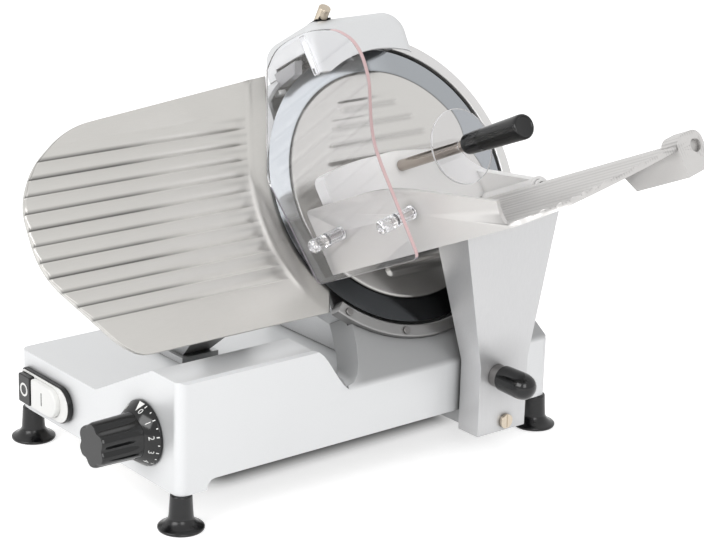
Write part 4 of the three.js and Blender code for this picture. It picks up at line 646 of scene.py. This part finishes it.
def makeGaugePlate():
    g = gaugePlate
    corners = [
        (-g["topRight"][0], g["topRight"][1]), (-g["topLeft"][0], g["topLeft"][1]),
        (-g["upperLeft"][0], g["upperLeft"][1]), (-g["left"], g["side"][0]), (-g["left"], g["side"][1]),
        (-g["bottomLeft"][0], g["bottomLeft"][1]), (-g["bottomLeft"][0] + g["bottomStep"], g["bottom"]),
        (-g["bottomRight"], g["bottom"])]
    soft = roundCorners(corners, g["corner"], 8)[9:-9]
    side = plateSide(g["clear"], -g["topRight"][0], g["topRight"][1])
    outline = soft + [corners[-1]] + side[1:][::-1] + [corners[0]]
    crease = plateSide(g["creaseRadius"], -g["creaseTop"], g["topRight"][1])
    top, tangent = Vector(crease[0]), Vector(crease[1])
    along = (tangent - top).normalized()

    def pastCrease(x, y):
        if y > tangent.y:
            offset = Vector((x, y)) - top
            return offset.x * -along.y + offset.y * along.x
        return g["creaseRadius"] - math.hypot(x, y)

    lastRib = g["ribTop"] - (g["ribs"] - 1) * g["ribPitch"]

    # How far up its ridge a height on the plate lies, from 0 to 1, and -1 beyond the first and last ridge
    def ridgeShare(y):
        if not lastRib < y + g["ribShift"] < g["ribTop"] + g["ribPitch"]:
            return -1
        return ((y - lastRib + g["ribShift"]) / g["ribPitch"]) % 1

    def height(x, y):
        past = pastCrease(x, y)
        swell = g["swell"] * math.exp(-((past - 1) / g["swellWidth"]) ** 2) * ease(*g["swellStart"], y)
        share = ridgeShare(y)
        if past > 0:
            return -g["face"] - past * g["stripFall"] + swell
        if share < 0:
            return -g["face"] + swell
        run = 1 - ease(*g["ribEnd"], past)
        rolled = math.sqrt(max(0, 1 - (1 - min(1, share / g["rollShare"])) ** 2))
        ridge = rolled * (1 - ease(*g["fallShare"], share))
        return -g["face"] + g["ribHeight"] * ridge * run + swell

    def shade(x, y, z):
        past = pastCrease(x, y)
        share = ridgeShare(y)
        if past > g["shadeEnd"] or share < 0 or z < -g["face"] - g["thickness"] / 2:
            return 0
        underNear, *underPlace = g["underNear"]
        overNear, *overPlace = g["overNear"]
        under = max(0, 1 - share / g["rollShare"]) ** g["underPower"]
        over = max(0, 1 - abs(share - g["overPlace"]) / g["overWidth"])
        far = (1 - g["underLeast"]) * ease(*g["underFar"], -x)
        underLevel = g["underLeast"] + far + underNear * ease(*underPlace, past)
        return g["shade"] * (under * underLevel + over * overNear * ease(*overPlace, past))

    # The first and last row lie a hair inside the outline's ends
    rise = g["topRight"][1] - g["bottom"] - 0.01
    levels = [g["bottom"] + 0.001 + rise * row / g["rows"] for row in range(g["rows"] + 1)]
    piece = reliefSheet("gaugePlate", outline, levels, g["columns"], height, -g["face"] - g["thickness"])
    keepShade(piece, shade)
    settle(piece, "blade", "gauge", "brushedAluminium", "brushed_aluminium", "gauge_plate")


makeGaugePlate()
print("gauge plate made")

bladeSet = dict(radius=150, seat=119, back=6, bore=12, hollow=112, bevel=8, edge=1.4, seatDepth=2.5, steps=240)
coverDisc = dict(
    radius=125, back=0.5, front=2.4, ribs=11, pitch=18.1, height=1.8, width=15, inset=43, rim=3, shade=0.24,
    rimLine=2, rimShade=0.85, rimFall=0.8, ribRise=0.2, underPlace=-0.3, underWidth=0.34, shadeEnds=(-6, 4),
    columns=140, rows=260)
ringGuard = dict(inner=153.5, outer=167, front=2, back=14, start=-134, end=70, round=2.5, steps=96)


def makeBlade():
    b = bladeSet
    profile = [
        (b["bore"], -b["back"]), (b["hollow"], -b["back"]), (b["radius"] - 0.2, -b["edge"]),
        (b["radius"], -0.3), (b["radius"] - 0.3, -0.16), (b["radius"] - b["bevel"], -0.04),
        (b["radius"] - b["bevel"] - 2, 0),
        (b["seat"] + 0.6, 0), (b["seat"], -0.6), (b["seat"] - b["seatDepth"], -b["seatDepth"]),
        (b["bore"], -b["seatDepth"])]
    piece = turned("slicingBlade", profile, steps=b["steps"], closed=True)
    settle(piece, "blade", "blade_set", "groundSteel", "blade_steel", "blade")


def makeCoverDisc():
    c = coverDisc
    middle = (c["ribs"] - 1) / 2

    # A rib's middle, and how far it reaches to each side
    def ribPlace(index):
        centre = (index - middle) * c["pitch"]
        return centre, math.sqrt(c["radius"] ** 2 - centre ** 2) - c["inset"] - c["width"] / 2

    def height(x, y):
        total = 0
        for index in range(c["ribs"]):
            centre, reach = ribPlace(index)
            away = math.hypot(y - centre, max(0, abs(x) - reach)) / (c["width"] / 2)
            if away < 1:
                total += (1 - ease(c["ribRise"], 1, away)) * c["height"]
        fall = ease(c["radius"] - c["rim"], c["radius"], math.hypot(x, y))
        return c["front"] + total - fall * c["rimFall"]

    # Painted shade on each rib's lower side and on a thin line round the disc
    def shade(x, y, z):
        index = round(y / c["pitch"] + middle)
        rimLine = c["rimShade"] * ease(c["radius"] - c["rimLine"], c["radius"], math.hypot(x, y))
        if not 0 <= index < c["ribs"]:
            return rimLine
        centre, reach = ribPlace(index)
        under = max(0, 1 - abs((y - centre) / c["width"] - c["underPlace"]) / c["underWidth"])
        start, end = (reach + distance for distance in c["shadeEnds"])
        return max(rimLine, c["shade"] * under * (1 - ease(start, end, abs(x))))

    circle = arcPoints((0, 0), c["radius"], 0, 360, 240)[:-1]
    rows = c["rows"]
    levels = [-c["radius"] * math.cos(math.pi * (row + 0.02) / (rows + 0.04)) for row in range(rows + 1)]
    piece = reliefSheet("coverDisc", circle, levels, c["columns"], height, c["back"])
    keepShade(piece, shade)
    settle(piece, "blade", "machine", "polishedAluminium", "brushed_aluminium", "blade_cover")


def makeRingGuard():
    g = ringGuard
    sections = []
    cut = g["round"]
    corners = [
        (g["inner"], -g["back"]), (g["outer"] - cut, -g["back"]), (g["outer"], -g["back"] + cut),
        (g["outer"], g["front"] - cut), (g["outer"] - cut * 0.3, g["front"] - cut * 0.3),
        (g["outer"] - cut, g["front"]), (g["inner"] + 1, g["front"]), (g["inner"], g["front"] - 1)]
    for step in range(g["steps"] + 1):
        angle = math.radians(g["start"] + (g["end"] - g["start"]) * step / g["steps"])
        sections.append([(r * math.cos(angle), r * math.sin(angle), z) for r, z in corners])
    piece = lofted("ringGuard", sections)
    softEdges(piece, 0.5, 28, 2)
    settle(piece, "blade", "machine", "castRing", "cast_aluminium", "ring_guard")


makeBlade()
makeCoverDisc()
makeRingGuard()
print("blade, cover disc and ring guard made")

# The hood's hollows are a radius round the blade's axis and the heights between which it is clear
hood = dict(
    left=85, right=50, top=178, bottom=121, front=43, back=48, wall=4, corner=26, soft=13, far=200,
    window=(137, 30, 90), ring=(167.3, -14.3, 2.3), housing=(160.3, -90, -14), rim=(151.5, -14, 0.5),
    notch=(9, 146, -22, 35), wedge=[(141, -20), (142, 21), (129, 14), (125, -17)], wedgeSides=(-91, -80),
    foot=(-94, -84, 117, 123, -26, -15))
pin = dict(
    x=-52, y=168.2, z=13.6, pitch=33, radius=6.5, length=36, stem=3.2, neck=9, hole=(0.5, 60),
    seat=(-11, 9, -8.5, 8.5), seatZ=28.7, seatRise=0.4)


def makePinFrame():
    pitch = math.radians(pin["pitch"])
    out = Vector((0, math.sin(pitch), math.cos(pitch)))
    up = Vector((0, math.cos(pitch), -math.sin(pitch)))
    matrix = Matrix((Vector((1, 0, 0)), up, out)).transposed().to_4x4()
    matrix.translation = Vector((pin["x"], pin["y"], pin["z"])) * mm
    return matrix


pinFrame = makePinFrame()
frames["pin"] = frames["blade"] @ pinFrame


def makeHood():
    h = hood
    drop = 3 * h["soft"]

    def outline(inset):
        corner = h["corner"] - inset
        return (
            arcPoints((h["right"] - h["corner"], h["top"] - h["corner"]), corner, 0, 90, 14)
            + arcPoints((-h["left"] + h["corner"], h["top"] - h["corner"]), corner, 90, 180, 14)
            + [(-h["left"] + inset, h["bottom"] - drop), (h["right"] - inset, h["bottom"] - drop)])

    shell = prism("sharpenerHood", outline(0), -h["back"], h["front"])
    softEdges(shell, h["soft"], 50, 8)
    applyChanges(shell)
    gap, depth = pin["hole"]
    hole = rod("pinHole", pin["radius"] + gap, 0, depth, 96)
    hole.matrix_world = pinFrame
    far, (rim, rimFrom, gap) = h["far"], h["rim"]
    half, notchTop, notchFrom, notchTo = h["notch"]
    rimTo = h["front"] - h["wall"]
    cutAway(shell, [
        box("below", -far, far, 0, h["bottom"], -far, far),
        prism("room", outline(h["wall"]), -h["back"] + h["wall"], h["front"] - h["wall"]),
        rod("window", *h["window"]),
        turned("rim", [(0, rimFrom), (rim, rimFrom), (rim, rimTo - gap), (0, rimTo - 2 * gap)], steps=180),
        rod("ringRoom", *h["ring"]),
        rod("housingRoom", *h["housing"]),
        box("notch", -h["left"] - half, -h["left"] + half, 0, notchTop, notchFrom, notchTo),
        hole,
    ])
    softEdges(shell, 0.7, 32, 2)
    settle(shell, "blade", "machine", "satinCastAluminium", "cast_aluminium", "sharpener_hood")
    wedge = prism("stoneWedge", h["wedge"], *h["wedgeSides"], "x")
    softEdges(wedge, 1.2)
    settle(wedge, "blade", "machine", "castGrey", "cast_aluminium")
    foot = box("stoneWedgeFoot", *h["foot"])
    softEdges(foot, 1.8)
    settle(foot, "blade", "machine", "whiteAbs", "white_plastic")
    seat = prism("pinSeat", roundedBox(*pin["seat"], 1), h["top"] - 1, h["top"] + pin["seatRise"], "y")
    seat.data.transform(Matrix.Translation(Vector((pin["x"], 0, pin["seatZ"])) * mm))
    settle(seat, "blade", "machine", "blackAbs", "black_plastic")
    stem, neck, full, end = pin["stem"], pin["neck"], pin["radius"], pin["length"]
    press = turned("sharpenerPin", [
        (0, 0), (stem, 0), (stem, neck), (full - 0.6, neck), (full - 0.2, neck + 0.5), (full - 0.1, neck + 3),
        (full, end - 1), (full - 0.3, end - 0.3), (full - 1, end), (0, end)], steps=64)
    settle(press, "pin", "sharpener_pin", "nickelPlate", "nickel", "sharpener_pin")


makeHood()
print("sharpener hood made")

dial = dict(
    centre=(-60, 86), radius=33.5, rim=3, coneRadius=25, coneLength=15.3,
    # The grip: lobed along its length, from a start inside the cone to an end with a rounded edge
    gripStart=8, gripRadius=24.6, gripEnd=23.4, gripLength=46, lobes=6, fluteDepth=4, flutePower=1.6,
    endFall=(0.95, 30),
    stations=(
        (0, 0), (0.12, 0.3), (0.25, 0.75), (0.4, 1), (0.7, 1), (0.93, 1), (0.965, 1), (0.99, 0.97), (1, 0.94)),
    # The scale: digits and ticks in degrees clockwise from the top, and the marker wedge
    numbers=11, firstNumber=18, numberStep=30.5, digitHeight=8.6, digitRadius=28.5, markInset=0.3,
    markLift=0.12, tickLength=2, tickWidth=1, tickTaper=1.1, halfTick=0.7, wedge=(4, 7, 11), wedgeLength=6.5,
    markThickness=0.2)


# A point just above the dial's cone: degrees clockwise from the top, and a radius
def onCone(degrees, radius):
    d = dial
    angle = math.radians(degrees)
    slope = (d["coneLength"] - d["rim"]) / (d["radius"] - d["coneRadius"])
    depth = -d["rim"] - (d["radius"] - radius) * slope - d["markLift"]
    return Vector((d["centre"][0] + radius * math.sin(angle), depth, d["centre"][1] + radius * math.cos(angle)))


def makeDial():
    d = dial
    x, z = d["centre"]
    skirt = turned("thicknessDial", [
        (0, -0.3), (d["radius"] - 0.5, -0.3), (d["radius"], -0.8), (d["radius"], -d["rim"] + 0.3),
        (d["radius"] - 0.3, -d["rim"]), (d["coneRadius"], -d["coneLength"]), (0, -d["coneLength"])],
        "y", (x, 0, z), 120)
    settle(skirt, "bench", "thickness_control", "blackAbs", "black_plastic", "thickness_knob")


def makeGrip():
    d = dial
    sections = []
    length = d["gripLength"] + d["coneLength"] - d["gripStart"]
    endFrom, fall = d["endFall"]
    for along, share in d["stations"]:
        radius = d["gripRadius"] + (d["gripEnd"] - d["gripRadius"]) * along
        if along > endFrom:
            radius -= (along - endFrom) * fall
        sections.append(flutedRing(
            d["centre"], -d["gripStart"] - length * along, radius, d["lobes"], d["fluteDepth"] * share,
            d["flutePower"], 144))
    grip = lofted("thicknessGrip", sections)
    settle(grip, "bench", "thickness_control", "blackAbs", "black_plastic")


def makeTicks():
    d = dial
    outer = d["radius"] - d["markInset"]
    spread = math.degrees(d["tickWidth"] / 2 / d["radius"])
    marks = bmesh.new()
    for half in range(2 * d["numbers"] - 1):
        degrees = d["firstNumber"] + half * d["numberStep"] / 2
        inner = d["radius"] - (d["tickLength"] if half % 2 == 0 else d["tickLength"] * d["halfTick"])
        wide = spread * d["tickTaper"]
        corners = [
            onCone(degrees - spread, outer), onCone(degrees + spread, outer),
            onCone(degrees + wide, inner), onCone(degrees - wide, inner)]
        marks.faces.new([marks.verts.new(corner) for corner in corners])
    before, tip, after = d["wedge"]
    wedge = [onCone(-before, outer), onCone(after, outer), onCone(tip, d["radius"] - d["wedgeLength"])]
    marks.faces.new([marks.verts.new(corner) for corner in wedge])
    ticks = meshObject("dialMarks", marks)
    thick = ticks.modifiers.new("thick", "SOLIDIFY")
    thick.thickness = d["markThickness"] * mm
    thick.offset = 0
    settle(ticks, "bench", "thickness_control", "whitePrint", "white_plastic")


# A digit as a mesh, from the text object that draws it
def digitMesh(number):
    text = bpy.data.curves.new(f"digit{number}", "FONT")
    text.body = str(number)
    text.size = dial["digitHeight"]
    text.align_x = "CENTER"
    text.align_y = "CENTER"
    text.extrude = dial["markThickness"] / 2
    outline = bpy.data.objects.new(f"digit{number}", text)
    bpy.context.scene.collection.objects.link(outline)
    bpy.context.view_layer.update()
    mesh = bpy.data.meshes.new_from_object(outline.evaluated_get(bpy.context.evaluated_depsgraph_get()))
    bpy.data.objects.remove(outline)
    return mesh


def makeDigit(number):
    radius = dial["digitRadius"]
    degrees = dial["firstNumber"] + number * dial["numberStep"]
    spot = onCone(degrees, radius)
    upward = (onCone(degrees, radius + 1) - spot).normalized()
    sideways = (onCone(degrees + 1, radius) - spot).normalized()
    outward = sideways.cross(upward)
    if outward.y > 0:
        sideways.negate()
        outward = sideways.cross(upward)
    turn = Matrix((sideways, upward, outward)).transposed().to_4x4()
    turn.translation = spot
    mesh = digitMesh(number)
    mesh.transform(Matrix.Scale(mm, 4) @ turn)
    joined = bmesh.new()
    joined.from_mesh(mesh)
    bmesh.ops.remove_doubles(joined, verts=joined.verts, dist=0.001 * mm)
    bmesh.ops.recalc_face_normals(joined, faces=joined.faces)
    joined.to_mesh(mesh)
    joined.free()
    digit = bpy.data.objects.new(f"dialDigit{number}", mesh)
    bpy.context.scene.collection.objects.link(digit)
    settle(digit, "bench", "thickness_control", "whitePrint", "white_plastic")


makeDial()
makeGrip()
makeTicks()
for number in range(dial["numbers"]):
    makeDigit(number)
print("thickness knob made")

switch = dict(
    # The plate in its gasket: a square left end and a round right end
    left=287, right=193, low=46, high=86, proud=7, corner=5, plate=1.2, pocket=4.5, pocketFloor=1.5, seatGap=0.3,
    # The buttons, which reach through the plate, with the gap round each
    buttonLow=50, buttonHigh=82, front=13, reach=3,
    off=(-283, -260.3), offGap=(0.6, 0.5), offCorner=2, on=(-258, -208), onGap=0.4,
    # The marks on them: a ring and a bar
    ringPlace=-271.6, ring=(7.4, 5.2), barPlace=-236, bar=(1.4, 14.5), barRound=0.9, mark=(13.15, 12.9))


# The plate's outline, smaller all round by an inset
def plateOutline(inset):
    s = switch
    middle = (s["low"] + s["high"]) / 2
    half = (s["high"] - s["low"]) / 2 - inset
    left = -s["left"] + inset
    return (
        arcPoints((-s["right"] - half - inset, middle), half, -90, 90, 24)
        + arcPoints((left + s["corner"], middle + half - s["corner"]), s["corner"], 90, 180, 6)
        + arcPoints((left + s["corner"], middle - half + s["corner"]), s["corner"], 180, 270, 6))


# The off button's outline, or the wider one of its hole
def offOutline(growX, growZ):
    left, right = switch["off"]
    low, high = switch["buttonLow"] - growZ, switch["buttonHigh"] + growZ
    return roundedBox(left - growX, right + growX, low, high, switch["offCorner"])


def onOutline(grow):
    left, right = switch["on"]
    low, high = switch["buttonLow"] - grow, switch["buttonHigh"] + grow
    half = (high - low) / 2
    return (
        arcPoints((right - half + grow, (low + high) / 2), half, -90, 90, 24)
        + [(left - grow, high), (left - grow, low)])


def makeSwitchPlate():
    s = switch
    outside = -s["proud"] - s["reach"]
    gasket = prism("switchGasket", plateOutline(0), -s["proud"] + s["plate"], -s["seatGap"], "y")
    cutAway(gasket, [prism("pocket", plateOutline(s["pocket"]), outside, -s["pocketFloor"], "y")])
    softEdges(gasket, 0.8)
    settle(gasket, "bench", "machine", "blackAbs", "black_plastic", "switch_bezel")
    plate = prism("switchPlate", plateOutline(s["plate"]), -s["proud"], -s["proud"] + s["plate"], "y")
    cutAway(plate, [
        prism("offWay", offOutline(*s["offGap"]), outside, s["reach"], "y"),
        prism("onWay", onOutline(s["onGap"]), outside, s["reach"], "y")])
    softEdges(plate, 0.35, segments=2)
    settle(plate, "bench", "machine", "whiteAbs", "white_plastic")


def makeButtons():
    s = switch
    middle = (s["low"] + s["high"]) / 2
    front, back = (-depth for depth in s["mark"])
    off = prism("offButton", offOutline(0, 0), -s["front"], s["reach"], "y")
    softEdges(off, 1.2)
    settle(off, "bench", "off_button", "blackAbs", "black_plastic", "off_button")
    outer, inner = s["ring"]
    ring = turned(
        "offRing", [(inner, front), (outer, front), (outer, back), (inner, back)], "y",
        (s["ringPlace"], 0, middle), 64, True)
    settle(ring, "bench", "off_button", "whitePrint", "white_plastic")
    on = prism("onButton", onOutline(0), -s["front"], s["reach"], "y")
    softEdges(on, 2)
    settle(on, "bench", "on_button", "whiteAbs", "white_plastic", "on_button")
    wide, tall = (size / 2 for size in s["bar"])
    place = s["barPlace"]
    outline = roundedBox(place - wide, place + wide, middle - tall, middle + tall, wide * s["barRound"])
    bar = prism("onBar", outline, front, back, "y")
    settle(bar, "bench", "on_button", "blackAbs", "black_plastic")


makeSwitchPlate()
makeButtons()
print("switch made")

# Each foot's place, and the radius and height of the points up its side
feet = dict(
    foot_front_right=(-9, 9), foot_front_left=(-291, 9), foot_rear_right=(-9, 481), foot_rear_left=(-291, 481))
footShape = [
    (0, 0), (21.5, 0), (23, 0.5), (23.5, 1.6), (23.4, 2.8), (22.6, 3.6), (20.5, 4.4), (17.5, 6), (15, 8.4),
    (13.4, 10.8), (12.7, 12.4), (12.5, 14), (11.7, 25), (11.2, 34.5), (10.9, 36), (10.2, 36.7), (0, 36.7)]


def makeFeet():
    for name, (x, y) in feet.items():
        parts = name.split("_")
        piece = turned(parts[1] + parts[2].capitalize() + "Foot", footShape, centre=(x, y, 0), steps=96)
        settle(piece, "bench", "machine", "blackRubber", "black_rubber", name)


makeFeet()
print("feet made")

# Radius and distance along the handle's axis, for each part that is turned round it
handle = dict(
    y=106, z=69,
    grip=[
        (0, 147.3), (8.8, 147.3), (10, 148), (10.6, 149.6), (11, 160), (11.8, 190), (12.5, 222), (12.7, 230),
        (12.5, 233.4), (11.8, 234.9), (10.4, 235.3), (9.6, 234.7), (9.2, 234.2), (0, 234.2)],
    shaft=[
        (0, 23.3), (3.6, 23.3), (3.6, 37.3), (5.6, 37.3), (6, 37.8), (6, 147), (3.6, 147), (3.6, 190), (0, 190)],
    disc=[
        (6.3, 136), (37.8, 136), (38.3, 136.3), (38.5, 137), (38.5, 138), (38.3, 138.7), (37.8, 139),
        (6.3, 139)],
    rimRadius=20)


def makeHandle():
    h = handle
    centre = (0, h["y"], h["z"])
    grip = turned("pusherGrip", h["grip"], "x", centre, 96)
    settle(grip, "tray", "pusher", "blackAbs", "black_plastic", "pusher_grip")
    shaft = turned("pusherShaft", h["shaft"], "x", centre, 64)
    settle(shaft, "tray", "pusher", "darkShaft", "polished_steel", "pusher_shaft")
    disc = turned("thumbGuard", h["disc"], "x", centre, 120, True)

    # Its rim faces carry painted light, a pale grey in place of the light that the clear disc gathers
    def onRim(face):
        radius = math.hypot(face.center.y / mm - h["y"], face.center.z / mm - h["z"])
        return abs(face.normal.x) < 0.3 and radius > h["rimRadius"]

    giveFinishes(disc, ("clearAcrylic", "acrylicRim"), onRim)
    settle(disc, "tray", "pusher", "clearAcrylic", "clear_plastic", "thumb_guard")


makeHandle()
print("pusher handle made")

# A sheet on edge beside the tray's wall. Its free edge is a curve, and its foot has rounded corners
handGuard = dict(
    y=25, thickness=4.2, edge=0.5,
    curve=[
        (62, 214), (92, 229), (139, 233), (179, 226), (196, 216.5), (204.5, 205.5), (207, 190), (202, 168),
        (191, 148), (181, 130), (174, 112), (171, 92), (170, 60)],
    foot=[(170, 60), (168.5, -7), (1, -7), (-10, 112), (62, 214)], corner=9, corners=6,
    sawnAbove=-4, darkBelow=100, bead=(132, 141, 191, 231), beadRound=2, beadDepth=(1.6, 0.05))


def makeHandGuard():
    g = handGuard
    cornerSteps = g["corners"] + 1
    foot = roundCorners(g["foot"], g["corner"], g["corners"])[cornerSteps:-cornerSteps]
    outline = smoothCurve(g["curve"], 6) + foot
    sheet = prism("handGuard", outline, -g["y"], -g["y"] + g["thickness"], "y")

    # The sawn edge that faces the handle carries painted light, and the edges underneath carry painted shade
    def edgeFinish(face):
        sideways, upward = face.normal.x, face.normal.z
        if abs(face.normal.y) > 0.5:
            return 0
        if sideways > 0.3 and face.center.z / mm > g["sawnAbove"]:
            return 1
        return 2 if upward < -0.5 or (sideways < -0.5 and face.center.z / mm < g["darkBelow"]) else 0

    giveFinishes(sheet, ("clearAcrylic", "acrylicEdge", "acrylicPaintedShade"), edgeFinish)
    softEdges(sheet, g["edge"], 40, 2)
    settle(sheet, "tray", "carriage", "clearAcrylic", "clear_plastic", "hand_guard")
    front, back = g["beadDepth"]
    bead = prism("guardBead", roundedBox(*g["bead"], g["beadRound"], 4), -g["y"] - front, -g["y"] - back, "y")
    softEdges(bead, 1.2)
    # The bead's sideways faces carry a painted highlight
    giveFinishes(bead, ("clearAcrylic", "acrylicPaintedHighlight"), lambda face: abs(face.normal.x) > 0.9)
    settle(bead, "tray", "carriage", "clearAcrylic", "clear_plastic")


makeHandGuard()
print("hand guard made")

# Each ring of a guard knob: its distance out from the sheet, its radius, and how much of the flutes shows there
guardKnob = dict(
    places=dict(guard_knob_inner=("guardKnobInner", 42), guard_knob_outer=("guardKnobOuter", 157)),
    back=-25.3, z=35, flutes=9, depth=0.9,
    rings=[
        (18.2, 3.2, 0), (18, 4.8, 0), (17.2, 6.4, 0), (15.6, 7.4, 0), (13.4, 7.6, 0.1), (12.6, 7.3, 0.8),
        (12, 7.2, 1), (1, 7, 1), (0, 6.6, 0.6)],
    stud=(2.4, 6, 7))


def makeGuardKnobs():
    k = guardKnob
    thick, inside, end = k["stud"]
    start = k["back"] - inside
    stud = [(0, start), (thick - 0.2, start), (thick, start + 0.4), (thick, end), (0, end)]
    for node, (name, x) in k["places"].items():
        sections = [
            flutedRing((x, k["z"]), k["back"] - distance, radius, k["flutes"], k["depth"] * share, 1, 108)
            for distance, radius, share in k["rings"]]
        settle(lofted(name, sections), "tray", "carriage", "clearAcrylic", "clear_plastic", node)
        core = turned(name + "Stud", stud, "y", (x, 0, k["z"]), 40)
        settle(core, "tray", "carriage", "polishedSteel", "polished_steel")


makeGuardKnobs()

# The cap's outline: radius, and distance from where it starts on its shaft
lockKnob = dict(
    y=380, z=94, start=45.6,
    profile=[
        (0, 0.3), (12.6, 0.3), (13.4, 0.7), (13.8, 1.8), (14, 10), (14.3, 24), (14.2, 30), (13.6, 34),
        (12.2, 37.8), (10, 40.6), (7, 42.8), (3.6, 43.9), (0, 44.2)])


def makeLockKnob():
    k = lockKnob
    profile = [(radius, k["start"] + distance) for radius, distance in k["profile"]]
    cap = turned("lockKnobCap", profile, "x", (0, k["y"], k["z"]), 96)
    settle(cap, "bench", "lock_knob", "blackAbs", "black_plastic", "lock_knob_cap")


makeLockKnob()
print("knobs made")


# A white studio: the floor and the world show white to the camera, and the object stands under a soft sky.
# The underside is a painted shadow on the floor below the base: the light left in it, and where it begins and is
# full.
# Lamps are in metres and watts
studio = dict(
    white="#ffffff", floor="#ececec", lift=0.6, floorSize=8, skyLow=0.36, skyHigh=0.84, skyFrom=0.05, skyTo=0.75,
    underside=(0.1, ("X", -0.045, -0.085), ("X", -0.237, -0.197), ("Y", 0.06, 0.11), ("Y", 0.427, 0.387)))
lamps = dict(
    keyLamp=dict(place=(0.1, -2.3, 1.4), aim=(-0.1, 0.2, 0.2), size=(1.8, 1.2), power=28),
    sideLamp=dict(place=(2.3, -0.9, 1.3), aim=(0, 0.2, 0.2), size=(1.2, 1.4), power=18))


# One where a ray comes from the camera, through glass or off metal
def seenDirectly(tree):
    paths = addNode(tree, "ShaderNodeLightPath")
    seen = paths.outputs["Is Camera Ray"]
    for name in ("Is Transmission Ray", "Is Glossy Ray"):
        either = addNode(tree, "ShaderNodeMath", {"operation": "MAXIMUM"}, {0: seen, 1: paths.outputs[name]})
        seen = either.outputs[0]
    return seen


def makeSky():
    world = bpy.data.worlds.new("studio")
    bpy.context.scene.world = world
    world.use_nodes = True
    tree = world.node_tree
    background = tree.nodes["Background"]
    background.inputs["Color"].default_value = linear(studio["white"])
    coords = addNode(tree, "ShaderNodeTexCoord")
    direction = addNode(tree, "ShaderNodeSeparateXYZ", None, {"Vector": coords.outputs["Generated"]})
    sky = addNode(
        tree, "ShaderNodeMapRange",
        {"interpolation_type": "SMOOTHSTEP", "From Min": studio["skyFrom"], "From Max": studio["skyTo"],
         "To Min": studio["skyLow"], "To Max": studio["skyHigh"]},
        {"Value": direction.outputs["Z"]})
    level = addNode(
        tree, "ShaderNodeMapRange", {"To Max": 1},
        {"Value": seenDirectly(tree), "To Min": sky.outputs["Result"]})
    tree.links.new(level.outputs["Result"], background.inputs["Strength"])


# A sheet of white paper, lifted to white where it is seen, with the lamps' shadows and a painted shadow below
# the base
def makeFloor():
    half = studio["floorSize"] / 2
    corners = [(-half, -half, 0), (half, -half, 0), (half, half, 0), (-half, half, 0)]
    floorMesh = bpy.data.meshes.new("floor")
    floorMesh.from_pydata(corners, [], [(0, 1, 2, 3)])
    floor = bpy.data.objects.new("floor", floorMesh)
    bpy.context.scene.collection.objects.link(floor)
    paper = grainMaterial("paperFloor", studio["floor"], 0.9, grain=2, depth=0, shadows=[studio["underside"]])
    tree = paper.node_tree
    shader = tree.nodes["Principled BSDF"]
    shader.inputs["Emission Color"].default_value = linear(studio["white"])
    shader.inputs["Specular IOR Level"].default_value = 0.1
    lift = addNode(tree, "ShaderNodeMath", {"operation": "MULTIPLY", 1: studio["lift"]}, {0: seenDirectly(tree)})
    shown = multiplied(tree, [lift.outputs[0], shadowLight(tree, *studio["underside"])])
    tree.links.new(shown, shader.inputs["Emission Strength"])
    floorMesh.materials.append(paper)


def addLamp(name, place, aim, size, power):
    data = bpy.data.lights.new(name, "AREA")
    data.shape = "RECTANGLE"
    data.size, data.size_y = size
    data.energy = power
    lamp = bpy.data.objects.new(name, data)
    lamp.location = place
    lamp.rotation_euler = (Vector(aim) - Vector(place)).to_track_quat("-Z", "Y").to_euler()
    bpy.context.scene.collection.objects.link(lamp)


makeSky()
makeFloor()
for name, lamp in lamps.items():
    addLamp(name, **lamp)
bpy.context.scene.view_settings.view_transform = "Standard"
print("studio ready")
